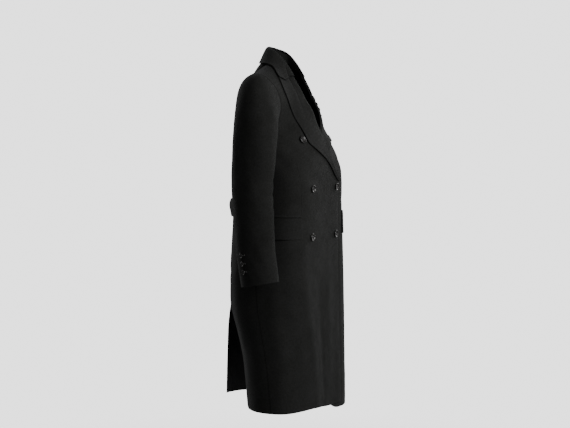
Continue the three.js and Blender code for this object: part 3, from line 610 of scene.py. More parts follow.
# ------------------------------------------------------------------ creases
# A crease is a soft trough (depth below 0) or ridge between two places on its piece. Along
# is the share across the piece, z the height, width and depth are in millimetres.
CREASE = "along z end_along end_z width depth"
FRONT_CREASES = {
    RIGHT: table(
        CREASE,
        (0.66, -560, 0.60, -1010, 24, 3.2),
        (0.80, -590, 0.83, -1090, 20, -3.4),
        (0.42, -700, 0.36, -1080, 26, -2.4),
        (0.20, -620, 0.17, -1060, 30, 1.9),
        (0.78, -262, 0.52, -318, 13, -2.6),
        (0.90, -282, 0.70, -356, 15, -2.2),
        (0.28, -405, 0.62, -372, 16, -2.0),
        (0.18, -440, 0.52, -455, 20, 1.5),
        (0.70, -395, 0.92, -432, 12, -2.0),
        (0.68, -455, 0.90, -470, 10, -1.4),
        (0.12, -570, 0.34, -600, 18, -1.2),
    ),
    LEFT: table(
        CREASE,
        (0.68, -570, 0.63, -1020, 22, 3.4),
        (0.83, -600, 0.86, -1080, 19, -3.0),
        (0.50, -690, 0.46, -1060, 25, -2.6),
        (0.80, -268, 0.56, -330, 14, -2.4),
        (0.88, -300, 0.66, -372, 13, -2.4),
        (0.72, -400, 0.93, -446, 13, -1.8),
        (0.66, -450, 0.88, -474, 10, -1.5),
    ),
}
BACK_CREASES = {
    RIGHT: table(
        CREASE,
        (0.22, -520, 0.20, -1020, 24, 2.6),
        (0.42, -560, 0.46, -1060, 22, -3.2),
        (0.66, -540, 0.70, -1000, 26, 2.6),
        (0.06, -270, 0.34, -238, 12, -2.4),
        (0.10, -330, 0.42, -300, 15, -2.0),
        (0.18, -410, 0.70, -426, 14, -1.8),
        (0.30, -120, 0.70, -96, 20, -1.2),
    ),
    LEFT: table(
        CREASE,
        (0.24, -530, 0.21, -1030, 23, 2.8),
        (0.46, -550, 0.50, -1070, 24, -3.0),
        (0.74, -560, 0.78, -1010, 25, 2.4),
        (0.08, -262, 0.36, -240, 13, -2.2),
        (0.06, -318, 0.38, -312, 14, -2.2),
        (0.22, -398, 0.66, -430, 15, -1.7),
        (0.34, -126, 0.74, -104, 21, -1.1),
    ),
}
# On a sleeve the share runs round its whole section, from its outer side over the front.
SLEEVE_CREASES = {
    RIGHT: table(
        CREASE,
        (0.36, -372, 0.10, -402, 9, -2.6),
        (0.40, -414, 0.14, -430, 8, -2.9),
        (0.38, -452, 0.06, -470, 10, -2.2),
        (0.30, -498, 0.12, -520, 11, -1.6),
        (0.20, -200, 0.26, -300, 14, -2.0),
        (0.06, -170, 0.10, -330, 18, 1.6),
        (-0.10, -180, -0.06, -360, 15, -1.9),
        (0.62, -240, 0.40, -300, 11, -2.8),
        (0.70, -276, 0.44, -330, 10, -2.6),
        (-0.04, -560, 0.10, -650, 16, -1.4),
        (0.28, -580, 0.18, -670, 13, -1.5),
    ),
    LEFT: table(
        CREASE,
        (0.37, -380, 0.12, -398, 9, -2.4),
        (0.41, -420, 0.12, -442, 9, -2.8),
        (0.36, -462, 0.08, -474, 10, -2.0),
        (0.28, -505, 0.10, -532, 12, -1.5),
        (0.22, -208, 0.24, -312, 13, -2.1),
        (0.02, -176, 0.08, -340, 18, 1.5),
        (-0.12, -190, -0.04, -350, 15, -1.8),
        (0.60, -236, 0.42, -296, 11, -2.6),
        (0.72, -282, 0.46, -338, 10, -2.5),
        (0.00, -570, 0.12, -660, 15, -1.3),
        (0.30, -574, 0.20, -660, 13, -1.4),
    ),
}
PANEL_SPAN = 400.0
SLEEVE_SPAN = 350.0
# The front dart runs down to the pocket between the panel's columns.
DART = {"along": 0.66, "top": -300.0, "bottom": -497.0, "depth": -0.7, "width": 1.0}
# Slow waves that keep the cloth from lying dead flat: wavelengths, slant and height.
RIPPLES = table("across down slant height", (170, 260, 0.4, 0.55), (96, 150, -0.9, 0.35), (61, 88, 1.7, 0.2))


def crease_height(rows, span, along, z):
    total = 0 * z
    for a0, z0, a1, z1, width, depth in zip(*(rows[name] for name in CREASE.split())):
        run_a, run_z = (a1 - a0) * span, z1 - z0
        off_a, off_z = (along - a0) * span, z - z0
        share = np.clip((off_a * run_a + off_z * run_z) / (run_a**2 + run_z**2), 0, 1)
        distance = np.hypot(off_a - share * run_a, off_z - share * run_z)
        strength = 0.3 + 0.7 * np.sin(math.pi * share) ** 0.7
        total = total + depth * strength * np.exp(-((distance / width) ** 2))
    return total


def ripple_height(span, along, z, phase):
    total = 0 * z
    for across, down, slant, height in zip(*(RIPPLES[name] for name in "across down slant height".split())):
        wave = along * span / across + slant * z / down
        total = total + height * np.sin(2 * math.pi * wave + phase) * np.cos(2 * math.pi * z / down + phase)
    return total


# ------------------------------------------------------------------ cloth shells
FINE_STEPS = (0.35, 0.9, 1.7, 3.2)
SEAM_DIP = 0.4
SEAM_WIDTH = 1.2


def edge_steps(count, length, start=0.0, end=1.0):
    """Steps over a stretch of a length, finer where its edges are rounded."""
    fine = np.array(FINE_STEPS) / length
    even = np.linspace(0, 1, count + 1)
    middle = even[(even > fine[-1] * 1.6) & (even < 1 - fine[-1] * 1.6)]
    return mix(start, end, np.concatenate([[0], fine, middle, 1 - fine[::-1], [1]]))


def grid_normals(grid, sign):
    along_u = np.gradient(grid, axis=1)
    along_v = np.gradient(grid, axis=0)
    return unit(np.cross(along_u, along_v)) * sign


def arc_lengths(grid, axis):
    steps = np.linalg.norm(np.diff(grid, axis=axis), axis=-1)
    pad = [(0, 0), (0, 0)]
    pad[axis] = (1, 0)
    return np.cumsum(np.pad(steps, pad), axis=axis)


def cloth_shell(name, grid, sign, wall, free, materials, height=None, sewn=0.0):
    """A closed shell through a grid of points, with its other face one wall further in.

    free names the edges that are finished and rounded, out of u0, u1, v0 and v1; they are marked
    for a painted highlight. The other edges are sewn, sink a little into their seam and are marked
    for a painted shade. sewn marks further seams inside, which get the same painted shade.
    """
    normals = grid_normals(grid, sign)
    if height is not None:
        grid = grid + normals * height[..., None]
        normals = grid_normals(grid, sign)
    along, down = arc_lengths(grid, 1), arc_lengths(grid, 0)
    inset = {"u0": along, "u1": along[:, -1:] - along, "v0": down, "v1": down[-1:, :] - down}
    far = np.full(along.shape, 1e3)
    from_free = np.minimum.reduce([far] + [inset[e] for e in free])
    from_seam = np.minimum.reduce([far] + [inset[e] for e in inset if e not in free])
    radius = wall / 2
    swell = radius * np.sqrt(np.clip(1 - (1 - np.minimum(from_free / radius, 1)) ** 2, 0.03, 1))
    dip = SEAM_DIP * np.exp(-((from_seam / SEAM_WIDTH) ** 2))
    middle = grid - normals * radius
    outer = twisted(middle + normals * (swell - dip)[..., None])
    inner = twisted(middle - normals * swell[..., None])
    # The edge mark is for a painted highlight near finished edges, the seam mark for a painted shade along seams and
    # the dart.
    marks = {"edge": np.exp(-from_free / 3.5), "seam": np.maximum(np.exp(-((from_seam / 2.6) ** 2)), sewn)}
    obj = shell_mesh(name, outer, inner, sign > 0, along * MM, down * MM, marks, materials)
    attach(obj, "root")
    return obj


def shell_mesh(name, outer, inner, turned_round, across, down, marks, materials):
    rows, columns = outer.shape[:2]
    count = rows * columns
    index = np.arange(count).reshape(rows, columns)
    a, b, c, d = index[:-1, :-1], index[:-1, 1:], index[1:, 1:], index[1:, :-1]
    face = np.stack([a, b, c, d], axis=-1).reshape(-1, 4)
    lining = face[:, ::-1] + count
    ring = np.concatenate([index[0, :-1], index[:-1, -1], index[-1, :0:-1], index[:0:-1, 0]])
    after = np.roll(ring, -1)
    rim = np.stack([ring, ring + count, after + count, after], axis=-1)
    faces = np.concatenate([face, lining, rim])
    if not turned_round:
        faces = faces[:, ::-1]
    mesh = bpy.data.meshes.new(name)
    vertices = np.concatenate([outer.reshape(-1, 3), inner.reshape(-1, 3)])
    mesh.from_pydata(vertices.tolist(), [], faces.tolist())
    for material in materials:
        mesh.materials.append(material)
    slots = np.zeros(len(faces), np.int32)
    slots[len(face) : 2 * len(face)] = len(materials) - 1
    mesh.polygons.foreach_set("material_index", slots)
    mesh.polygons.foreach_set("use_smooth", np.ones(len(faces), bool))
    places = np.stack([across, down], axis=-1).reshape(-1, 2)
    places = np.concatenate([places, places])
    uv = mesh.uv_layers.new(name="cloth")
    uv.data.foreach_set("uv", places[faces.reshape(-1)].astype(np.float32).reshape(-1))
    for mark, values in marks.items():
        attribute = mesh.attributes.new(mark, "FLOAT", "POINT")
        attribute.data.foreach_set("value", np.tile(values.reshape(-1), 2).astype(np.float32))
    mesh.update()
    obj = bpy.data.objects.new(name, mesh)
    bpy.context.scene.collection.objects.link(obj)
    return obj


# ------------------------------------------------------------------ materials
def new_material(name):
    material = bpy.data.materials.new(name)
    material.use_nodes = True
    nodes, links = material.node_tree.nodes, material.node_tree.links
    shader = nodes["Principled BSDF"]

    def add(kind, **values):
        node = nodes.new(kind)
        for key, value in values.items():
            if hasattr(node, key):
                setattr(node, key, value)
            else:
                node.inputs[key.replace("_", " ")].default_value = value
        return node

    return material, shader, add, links


def ramp(add, stops):
    node = add("ShaderNodeValToRGB")
    elements = node.color_ramp.elements
    for element, (place, value) in zip(elements, stops):
        element.position = place
        element.color = (*value, 1)
    return node


def wool_material(name, dark, light, nap):
    """Milled wool: a slanting twill almost closed by its nap, flecked and a little mottled."""
    material, shader, add, links = new_material(name)
    shader.inputs["Roughness"].default_value = 0.86
    shader.inputs["Specular IOR Level"].default_value = 0.12
    shader.inputs["Sheen Weight"].default_value = nap
    shader.inputs["Sheen Roughness"].default_value = 0.42
    shader.inputs["Sheen Tint"].default_value = (0.62, 0.64, 0.66, 1)
    cloth = add("ShaderNodeUVMap", uv_map="cloth")
    place = add("ShaderNodeTexCoord")
    twill = add("ShaderNodeMapping")
    twill.inputs["Rotation"].default_value = (0, 0, math.radians(58))
    links.new(cloth.outputs["UV"], twill.inputs["Vector"])
    lines = add("ShaderNodeTexWave", Scale=210.0, Distortion=3.2, Detail=2.0, Detail_Scale=1.6)
    links.new(twill.outputs["Vector"], lines.inputs["Vector"])
    fibre = add("ShaderNodeTexNoise", Scale=620.0, Detail=4.0, Roughness=0.72)
    cloud = add("ShaderNodeTexNoise", Scale=17.0, Detail=5.0, Roughness=0.62)
    fleck = add("ShaderNodeTexNoise", Scale=240.0, Detail=3.0, Roughness=0.8)
    for noise in (fibre, cloud, fleck):
        links.new(place.outputs["Object"], noise.inputs["Vector"])
    soft = add("ShaderNodeMath", operation="MULTIPLY_ADD")
    soft.inputs[1].default_value = 0.3
    links.new(cloud.outputs["Fac"], soft.inputs[0])
    grain = add("ShaderNodeMath", operation="MULTIPLY")
    grain.inputs[1].default_value = 0.7
    links.new(fleck.outputs["Fac"], grain.inputs[0])
    links.new(grain.outputs[0], soft.inputs[2])
    tone = ramp(add, ((0.36, dark), (0.64, light)))
    links.new(soft.outputs[0], tone.inputs["Fac"])
    # Painted highlight: the cloth is lightened near its finished edges, where light catches their rounded turn.
    edge_highlight = add("ShaderNodeAttribute", attribute_name="edge")
    painted_edge_highlight = add("ShaderNodeMix", data_type="RGBA", blend_type="ADD")
    painted_edge_highlight.inputs["B"].default_value = (0.004, 0.004, 0.0041, 1)
    edge_highlight_share = add("ShaderNodeMath", operation="MULTIPLY")
    edge_highlight_share.inputs[1].default_value = 0.8
    links.new(edge_highlight.outputs["Fac"], edge_highlight_share.inputs[0])
    links.new(edge_highlight_share.outputs[0], painted_edge_highlight.inputs["Factor"])
    links.new(tone.outputs["Color"], painted_edge_highlight.inputs["A"])
    # Painted shade: the cloth is darkened along its seams and the dart, where shade falls in their groove.
    sewn = add("ShaderNodeAttribute", attribute_name="seam")
    painted_seam_shade = add("ShaderNodeMix", data_type="RGBA", blend_type="MULTIPLY")
    painted_seam_shade.inputs["B"].default_value = (0.6, 0.6, 0.6, 1)
    links.new(sewn.outputs["Fac"], painted_seam_shade.inputs["Factor"])
    links.new(painted_edge_highlight.outputs["Result"], painted_seam_shade.inputs["A"])
    links.new(painted_seam_shade.outputs["Result"], shader.inputs["Base Color"])
    weave = add("ShaderNodeBump", Strength=0.28, Distance=0.0005)
    links.new(lines.outputs["Fac"], weave.inputs["Height"])
    felt = add("ShaderNodeBump", Strength=0.5, Distance=0.0006)
    links.new(fibre.outputs["Fac"], felt.inputs["Height"])
    links.new(weave.outputs["Normal"], felt.inputs["Normal"])
    uneven = add("ShaderNodeBump", Strength=0.12, Distance=0.004)
    links.new(cloud.outputs["Fac"], uneven.inputs["Height"])
    links.new(felt.outputs["Normal"], uneven.inputs["Normal"])
    links.new(uneven.outputs["Normal"], shader.inputs["Normal"])
    return material


def lining_material():
    """Black twill lining with a soft shine and fine vertical pulls."""
    material, shader, add, links = new_material("lining")
    shader.inputs["Roughness"].default_value = 0.5
    shader.inputs["Specular IOR Level"].default_value = 0.2
    cloth = add("ShaderNodeUVMap", uv_map="cloth")
    stretch = add("ShaderNodeMapping")
    stretch.inputs["Scale"].default_value = (9, 1.2, 1)
    links.new(cloth.outputs["UV"], stretch.inputs["Vector"])
    pulls = add("ShaderNodeTexNoise", Scale=6.0, Detail=4.0)
    links.new(stretch.outputs["Vector"], pulls.inputs["Vector"])
    tone = ramp(add, ((0.3, (0.004, 0.004, 0.0045)), (0.7, (0.010, 0.010, 0.011))))
    links.new(pulls.outputs["Fac"], tone.inputs["Fac"])
    links.new(tone.outputs["Color"], shader.inputs["Base Color"])
    bump = add("ShaderNodeBump", Strength=0.4, Distance=0.002)
    links.new(pulls.outputs["Fac"], bump.inputs["Height"])
    links.new(bump.outputs["Normal"], shader.inputs["Normal"])
    return material


def horn_material():
    """Polished dark horn with brown-grey streaks."""
    material, shader, add, links = new_material("horn")
    shader.inputs["Roughness"].default_value = 0.34
    shader.inputs["Coat Weight"].default_value = 0.12
    shader.inputs["Coat Roughness"].default_value = 0.15
    place = add("ShaderNodeTexCoord")
    stretch = add("ShaderNodeMapping")
    stretch.inputs["Scale"].default_value = (1, 4, 1)
    links.new(place.outputs["Object"], stretch.inputs["Vector"])
    streaks = add("ShaderNodeTexNoise", Scale=160.0, Detail=6.0, Roughness=0.6, Distortion=1.2)
    links.new(stretch.outputs["Vector"], streaks.inputs["Vector"])
    tone = ramp(add, ((0.42, (0.004, 0.004, 0.0045)), (0.74, (0.026, 0.022, 0.019))))
    links.new(streaks.outputs["Fac"], tone.inputs["Fac"])
    links.new(tone.outputs["Color"], shader.inputs["Base Color"])
    return material


def thread_material():
    """Twisted black buttonhole thread."""
    material, shader, add, links = new_material("thread")
    shader.inputs["Roughness"].default_value = 0.55
    shader.inputs["Sheen Weight"].default_value = 0.3
    place = add("ShaderNodeTexCoord")
    twist = add("ShaderNodeTexWave", Scale=900.0, Distortion=1.0)
    links.new(place.outputs["Object"], twist.inputs["Vector"])
    tone = ramp(add, ((0.2, (0.006, 0.006, 0.006)), (0.8, (0.022, 0.022, 0.023))))
    links.new(twist.outputs["Fac"], tone.inputs["Fac"])
    links.new(tone.outputs["Color"], shader.inputs["Base Color"])
    bump = add("ShaderNodeBump", Strength=0.6, Distance=0.0003)
    links.new(twist.outputs["Fac"], bump.inputs["Height"])
    links.new(bump.outputs["Normal"], shader.inputs["Normal"])
    return material


WOOL = wool_material("wool", (0.0060, 0.0062, 0.0054), (0.0152, 0.0154, 0.0148), 0.07)
LINING = lining_material()
HORN = horn_material()
THREAD = thread_material()


def finish_cloth(obj, nodes):
    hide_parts(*nodes)
    return obj


def panel_grid(surface, us, rows, height):
    """A panel's points: v runs from the hem (0) over the armpits (1) to the top edge (2)."""
    share = edge_steps(rows, height)
    vs = np.interp(share, [0, 0.79, 1], [0, 1, 2])
    u, v = np.meshgrid(us, vs)
    grid = surface(u, v)
    eased = np.exp(-(((vs - 1) / 0.13) ** 2))[1:-1, None, None]
    for _ in range(60):
        grid[1:-1] += 0.5 * eased * (0.5 * (grid[2:] + grid[:-2]) - grid[1:-1])
    return grid, u, grid[..., 2]


def dart_columns(width):
    """Columns close to the dart, so that its narrow line has a form."""
    return DART["along"] + np.array([-3.2, -1.8, -1.0, -0.45, 0, 0.45, 1.0, 1.8, 3.2]) / width


FRONT_WIDTH = 440.0
BACK_WIDTH = 330.0


def make_fronts():
    for side, label in SIDES.items():
        us = np.sort(np.concatenate([edge_steps(84, FRONT_WIDTH), dart_columns(FRONT_WIDTH)]))
        grid, u, z = panel_grid(lambda a, b: front_point(side, a, b), us, 170, 1100)
        height = crease_height(FRONT_CREASES[side], PANEL_SPAN, u, z)
        height += ripple_height(PANEL_SPAN, u, z, 0.6 * side)
        height *= smoothstep(0, 0.05, u) * (1 - 0.85 * smoothstep(0.9, 1, u))
        height *= 1 - 0.8 * smoothstep(-120, -40, z)
        if side == LEFT:
            height = np.minimum(height, 0.6)
        off_dart = np.exp(-(((u - DART["along"]) * FRONT_WIDTH / DART["width"]) ** 2))
        off_dart *= smoothstep(DART["bottom"] - 4, DART["bottom"] + 4, z)
        off_dart *= 1 - smoothstep(DART["top"] - 40, DART["top"], z)
        height += DART["depth"] * off_dart
        name, free = f"cloth_front_{label}", ("u0", "v0")
        # The dart line gets half the painted seam shade.
        obj = cloth_shell(name, grid, side, CLOTH, free, (WOOL, LINING), height, 0.5 * off_dart)
        finish_cloth(obj, [f"front_{label}"])


def make_backs():
    for side, label in SIDES.items():
        us = edge_steps(70, BACK_WIDTH)
        grid, u, z = panel_grid(lambda a, b: back_point(side, a, b), us, 170, 1100)
        height = crease_height(BACK_CREASES[side], PANEL_SPAN, u, z)
        height += ripple_height(PANEL_SPAN, u, z, 1.9 + side)
        height *= smoothstep(0, 0.08, u) * (1 - smoothstep(0.9, 1, u))
        height *= 1 - 0.8 * smoothstep(-120, -40, z)
        obj = cloth_shell(f"cloth_back_{label}", grid, side, CLOTH, ("v0",), (WOOL, LINING), height)
        finish_cloth(obj, [f"back_{label}"])


def sleeve_height(side, degrees, z):
    share = degrees / 360
    around = np.where(share > 0.8, share - 1, share)
    height = crease_height(SLEEVE_CREASES[side], SLEEVE_SPAN, around, z)
    height += crease_height(SLEEVE_CREASES[side], SLEEVE_SPAN, around - 1, z)
    height += ripple_height(SLEEVE_SPAN, np.sin(np.radians(degrees)) / 3, z, 2.4 * side)
    return height


def make_sleeves():
    stretches = {
        "top_sleeve": (HIND_SEAM_ANGLE, FORE_SEAM_ANGLE, 190),
        "under_sleeve": (FORE_SEAM_ANGLE, 360 + HIND_SEAM_ANGLE, 160),
    }
    for side, label in SIDES.items():
        for piece, (start, end, width) in stretches.items():
            angles = edge_steps(46, width, start, end)
            share = edge_steps(130, 660)
            vs = np.interp(share, [0, 0.32, 1], [-1, 0, 1])
            degrees, v = np.meshgrid(angles, vs)
            grid = sleeve_point(side, np.radians(degrees), v)
            z = grid[..., 2]
            height = sleeve_height(side, degrees, z) * smoothstep(0, 0.05, share)[:, None]
            height = height * (1 - 0.7 * smoothstep(0.96, 1, share)[:, None])
            obj = cloth_shell(f"cloth_{piece}_{label}", grid, side, CLOTH, ("v1",), (WOOL, LINING), height)
            finish_cloth(obj, [f"{piece}_{label}"])


def make_lapels():
    for side, label in SIDES.items():
        us = np.unique(np.concatenate([np.linspace(0, 0.12, 13), edge_steps(44, 130)]))
        rows = edge_steps(120, 420, 0, LAPEL_LAST_ROW)
        u, row = np.meshgrid(us, rows)
        grid = lapel_point(side, u, row)
        obj = cloth_shell(f"cloth_lapel_{label}", grid, side, CLOTH, ("u0", "u1", "v0"), (WOOL,))
        finish_cloth(obj, [f"lapel_{label}"])


def make_collar():
    ws = edge_steps(150, 400)
    w, v = np.meshgrid(ws, edge_steps(10, 40))
    stand = cloth_shell("cloth_collar_stand", collar_stand_point(w, v), -1, 2.6, (), (WOOL,))
    finish_cloth(stand, ["collar_stand"])
    w, v = np.meshgrid(edge_steps(170, 560), np.unique(np.concatenate([np.linspace(0, 0.2, 9), edge_steps(40, 80)])))
    fall = cloth_shell("cloth_collar_fall", collar_fall_point(w, v), -1, CLOTH, ("v1",), (WOOL,))
    finish_cloth(fall, ["collar_fall"])


def make_belt():
    w, v = np.meshgrid(edge_steps(150, 500), edge_steps(14, 57))
    belt = cloth_shell("cloth_half_belt", belt_point(w, v), -1, BELT["wall"], ("v0", "v1"), (WOOL,))
    finish_cloth(belt, ["half_belt"])


def make_pockets():
    for side, label in SIDES.items():
        mouth = POCKET["mouth"]
        u, v = np.meshgrid(edge_steps(52, 150), edge_steps(24, 68))
        grid = pocket_point(side, mouth, mouth - POCKET["flap"], 4.1)(u, v)
        flap = cloth_shell(f"cloth_pocket_flap_{label}", grid, side, CLOTH, ("u0", "u1", "v0"), (WOOL,))
        finish_cloth(flap, [f"pocket_flap_{label}"])
        u, v = np.meshgrid(edge_steps(52, 150), np.linspace(0, 1, 9))
        grid = pocket_point(side, mouth + POCKET["jet"], mouth + 0.6, 3.7)(u, v)
        jet = cloth_shell(f"cloth_pocket_jet_{label}", grid, side, 2.6, ("v0", "v1"), (WOOL,))
        finish_cloth(jet, [f"pocket_jet_{label}"])


# ------------------------------------------------------------------ buttons
FRONT_BUTTONS = {"top": (-255, 120), "middle": (-409, 87), "bottom": (-562, 87)}
CUFF_BUTTONS = (-604, -629, -654)
CUFF_BUTTON_ANGLE = math.radians(-30)
HOLE_RADIUS = 0.11
HOLE_PLACES = ((0.2, 0.2), (-0.2, 0.2), (-0.2, -0.2), (0.2, -0.2))


def lathe(profile, segments):
    """A closed turned body about Z: its vertices and faces."""
    angles = np.linspace(0, 2 * math.pi, segments, endpoint=False)
    rings = [np.stack([r * np.cos(angles), r * np.sin(angles), z + 0 * angles], -1) for r, z in profile[1:-1]]
    vertices = np.vstack([[[0, 0, profile[0][1]]]] + rings + [[[0, 0, profile[-1][1]]]])
    faces, last = [], len(vertices) - 1
    for k in range(segments):
        nxt = (k + 1) % segments
        faces.append((0, 1 + nxt, 1 + k))
        for r in range(len(rings) - 1):
            low, high = 1 + r * segments, 1 + (r + 1) * segments
            faces.append((low + k, low + nxt, high + nxt, high + k))
        top = 1 + (len(rings) - 1) * segments
        faces.append((top + k, top + nxt, last))
    return vertices, faces


def tube(path, radius, segments=8):
    """A closed tube along a list of points."""
    path = np.asarray(path, float)
    ahead = unit(np.gradient(path, axis=0))
    side = unit(np.cross(ahead, np.array([0.3, 0.2, 1.0])))
    up = np.cross(side, ahead)
    turns = np.linspace(0, 2 * math.pi, segments, endpoint=False)
    rings = [p + radius * (np.outer(np.cos(turns), s) + np.outer(np.sin(turns), t)) for p, s, t in zip(path, side, up)]
    faces = []
    for r in range(len(path) - 1):
        for k in range(segments):
            nxt = (k + 1) % segments
            faces.append((r * segments + k, r * segments + nxt, (r + 1) * segments + nxt, (r + 1) * segments + k))
    faces.append(tuple(range(segments))[::-1])
    faces.append(tuple((len(path) - 1) * segments + k for k in range(segments)))
    return np.vstack(rings), faces


def joined_mesh(name, parts):
    """One mesh out of (vertices in mm, faces, material) parts."""
    mesh = bpy.data.meshes.new(name)
    vertices, faces, slots, materials = [], [], [], []
    for part_vertices, part_faces, material in parts:
        if material not in materials:
            materials.append(material)
        start = len(vertices)
        vertices.extend((np.asarray(part_vertices) * MM).tolist())
        faces.extend([tuple(start + i for i in face) for face in part_faces])
        slots.extend([materials.index(material)] * len(part_faces))
    mesh.from_pydata(vertices, [], faces)
    for material in materials:
        mesh.materials.append(material)
    mesh.polygons.foreach_set("material_index", np.array(slots, np.int32))
    mesh.polygons.foreach_set("use_smooth", np.ones(len(faces), bool))
    mesh.update()
    return mesh


def button_mesh(name, radius, height):
    """A dished button with a rounded rim, four sewn holes and its thread shank."""
    rim = [(math.cos(t), math.sin(t)) for t in np.linspace(-0.9, math.pi / 2 + 0.5, 9)]
    rim_radius = radius * 0.13
    profile = [(0, 0), (radius * 0.7, 0)]
    profile += [(radius - rim_radius + rim_radius * c, height - rim_radius + rim_radius * s) for c, s in rim]
    profile += [(radius * 0.72, height * 0.66), (radius * 0.5, height * 0.56), (radius * 0.2, height * 0.53)]
    profile += [(0, height * 0.52)]
    parts = [(*lathe(profile, 40), HORN)]
    face_z = height * 0.55
    for x, y in HOLE_PLACES:
        hole = [(0, -0.1), (radius * HOLE_RADIUS, -0.1), (radius * HOLE_RADIUS, 0.16), (0, 0.16)]
        vertices, faces = lathe(hole, 12)
        parts.append((vertices + np.array([x * radius, y * radius, face_z]), faces, THREAD))
    for y in (0.2, -0.2):
        for lane in (-0.05, 0.05):
            ends = np.linspace(-0.2, 0.2, 9)
            bow = face_z + 0.25 + 0.55 * np.cos(ends / 0.2 * math.pi / 2)
            path = np.stack([ends * radius, (y + lane) * radius + 0 * ends, bow], -1)
            parts.append((*tube(path, 0.32), THREAD))
    shank = [(0, -1.6), (radius * 0.2, -1.6), (radius * 0.17, 0.2), (0, 0.2)]
    parts.append((*lathe(shank, 14), THREAD))
    return joined_mesh(name, parts)


def place_button(mesh, node, point, normal, gap):
    """A button on its place, turned to face out of the cloth, its threads level."""
    z = point[2]
    facing = Vector(turned(normal, z))
    place = Vector(twisted(point)) + facing * gap * MM
    button = bpy.data.objects.new(f"horn_{node}", mesh)
    bpy.context.scene.collection.objects.link(button)
    button.rotation_mode = "QUATERNION"
    button.rotation_quaternion = facing.to_track_quat("Z", "Y")
    button.location = place
    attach(button, "root")
    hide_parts(node)


def make_buttons():
    mesh = button_mesh("front_button", BUTTON_RADIUS, 5)
    for side, label in SIDES.items():
        for name, (z, e) in FRONT_BUTTONS.items():
            front = LEFT if (side == LEFT and name == "top") else RIGHT
            point, normal = front_at(front, np.float64(e if side == front else -e), np.float64(z))
            place_button(mesh, f"button_{name}_{label}", point, normal, 0.5)
    small = button_mesh("cuff_button", CUFF_BUTTON_RADIUS, 3.6)
    for side, label in SIDES.items():
        for i, z in enumerate(CUFF_BUTTONS):
            z = np.float64(z)
            point = sleeve_ring(side, CUFF_BUTTON_ANGLE, z)
            ahead = sleeve_ring(side, CUFF_BUTTON_ANGLE + 0.01, z) - point
            below = sleeve_ring(side, CUFF_BUTTON_ANGLE, z - 1) - point
            normal = unit(np.cross(ahead, below)) * side
            place_button(small, f"cuff_button_{i + 1}_{label}", point, normal, 0.2)


# ------------------------------------------------------------------ buttonholes
HOLE_LENGTH = 29.0
HOLE_HALF_WIDTH = 1.5


def stadium(length, half_width, count=56):
    """A closed loop of two straight runs and two round ends, as offsets along and across."""
    straight = length / 2 - half_width
    turns = np.linspace(0, 2 * math.pi, count)
    along = half_width * np.cos(turns) + np.where(np.cos(turns) > 0, straight, -straight)
    return along, half_width * np.sin(turns)


def add_thread(name, path, normals):
    vertices, faces = tube(twisted(path + normals * 0.25) / MM, 0.75, 8)
    obj = bpy.data.objects.new(name, joined_mesh(name, [(vertices, faces, THREAD)]))
    bpy.context.scene.collection.objects.link(obj)
    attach(obj, "root")


def make_buttonholes():
    along, across = stadium(HOLE_LENGTH, HOLE_HALF_WIDTH)
    for name in ("middle", "bottom"):
        z, e = FRONT_BUTTONS[name]
        path, normals = front_at(RIGHT, -e - 5.5 + along, z + across)
        add_thread(f"buttonhole_{name}", path, normals)
    along, across = stadium(19, 1.1)
    for side, label in SIDES.items():
        for i, z in enumerate(CUFF_BUTTONS):
            angle = CUFF_BUTTON_ANGLE + (along + 3) / 55
            path = sleeve_ring(side, angle, z + across)
            ahead = sleeve_ring(side, angle + 0.01, z + across) - path
            below = sleeve_ring(side, angle, z + across - 1) - path
            add_thread(f"cuff_buttonhole_{i + 1}_{label}", path, unit(np.cross(ahead, below)) * side)


# ------------------------------------------------------------------ studio
VIEW_ANGLE = math.radians(66)
CAMERA_DISTANCE = 5.0
CAMERA_Z = -0.18
AIM_Z = -0.4975
AIM_ACROSS = 0.0048
LENS = 97.7
FLOOR_Z = -1.46
FLOOR_RADIUS = 2.4
BACKGROUND = 2.4
AMBIENT = 0.16


def make_camera():
    data = bpy.data.cameras.new("camera")
    data.sensor_width = 36
    data.lens = LENS
    camera = bpy.data.objects.new("camera", data)
    bpy.context.scene.collection.objects.link(camera)
    sine, cosine = math.sin(VIEW_ANGLE), math.cos(VIEW_ANGLE)
    camera.location = (-CAMERA_DISTANCE * sine, -CAMERA_DISTANCE * cosine, CAMERA_Z)
    aim = Vector((cosine * AIM_ACROSS, -sine * AIM_ACROSS, AIM_Z))
    camera.rotation_mode = "QUATERNION"
    camera.rotation_quaternion = (aim - camera.location).to_track_quat("-Z", "Y")
    bpy.context.scene.camera = camera


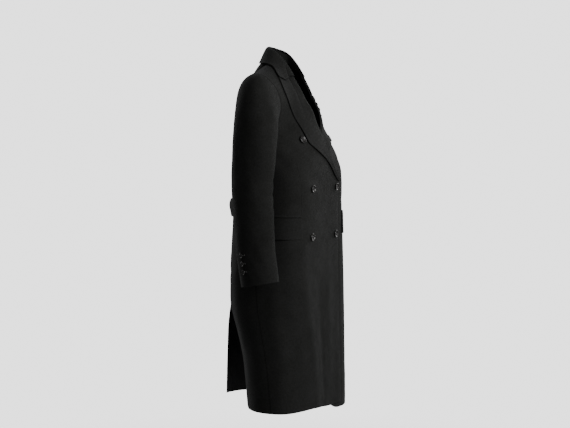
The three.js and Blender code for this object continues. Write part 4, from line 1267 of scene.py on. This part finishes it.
def make_light(name, degrees, distance, height, size, power):
    """A soft lamp; degrees run from the front towards the wearer's right."""
    data = bpy.data.lights.new(name, "AREA")
    data.size = size
    data.energy = power
    lamp = bpy.data.objects.new(name, data)
    bpy.context.scene.collection.objects.link(lamp)
    turn = math.radians(degrees)
    lamp.location = (-distance * math.sin(turn), -distance * math.cos(turn), height)
    lamp.rotation_mode = "QUATERNION"
    lamp.rotation_quaternion = (Vector((0, 0, -0.5)) - lamp.location).to_track_quat("-Z", "Y")


def make_studio():
    floor_mesh = bpy.data.meshes.new("floor")
    turns = np.linspace(0, 2 * math.pi, 96, endpoint=False)
    ring = [(FLOOR_RADIUS * math.cos(t), FLOOR_RADIUS * math.sin(t), FLOOR_Z) for t in turns]
    floor_mesh.from_pydata(ring, [], [tuple(range(len(ring)))])
    floor = bpy.data.objects.new("floor", floor_mesh)
    bpy.context.scene.collection.objects.link(floor)
    material, shader, add, links = new_material("pale_floor")
    shader.inputs["Base Color"].default_value = (0.93, 0.93, 0.93, 1)
    shader.inputs["Roughness"].default_value = 0.9
    place = add("ShaderNodeTexCoord")
    distance = add("ShaderNodeVectorMath", operation="LENGTH")
    fade = add("ShaderNodeMapRange", interpolation_type="SMOOTHSTEP")
    fade.inputs["From Min"].default_value = FLOOR_RADIUS * 0.95
    fade.inputs["From Max"].default_value = FLOOR_RADIUS * 0.2
    links.new(place.outputs["Object"], distance.inputs[0])
    links.new(distance.outputs["Value"], fade.inputs["Value"])
    links.new(fade.outputs["Result"], shader.inputs["Alpha"])
    floor_mesh.materials.append(material)
    world = bpy.data.worlds.new("studio")
    world.use_nodes = True
    nodes, links = world.node_tree.nodes, world.node_tree.links
    background = nodes["Background"]
    background.inputs["Color"].default_value = (1, 1, 1, 1)
    seen = nodes.new("ShaderNodeLightPath")
    strength = nodes.new("ShaderNodeMapRange")
    strength.inputs["To Min"].default_value = AMBIENT
    strength.inputs["To Max"].default_value = BACKGROUND
    links.new(seen.outputs["Is Camera Ray"], strength.inputs["Value"])
    links.new(strength.outputs["Result"], background.inputs["Strength"])
    bpy.context.scene.world = world
    make_light("key", 20, 1.9, 0.22, 1.0, 44)
    make_light("fill", -70, 3.4, 0.5, 1.8, 42)
    make_light("rim", 196, 3.4, 0.7, 2.0, 60)


# ------------------------------------------------------------------ all of it
make_camera()
make_studio()
make_fronts()
make_backs()
make_sleeves()
make_lapels()
make_collar()
make_belt()
make_pockets()
make_buttons()
make_buttonholes()
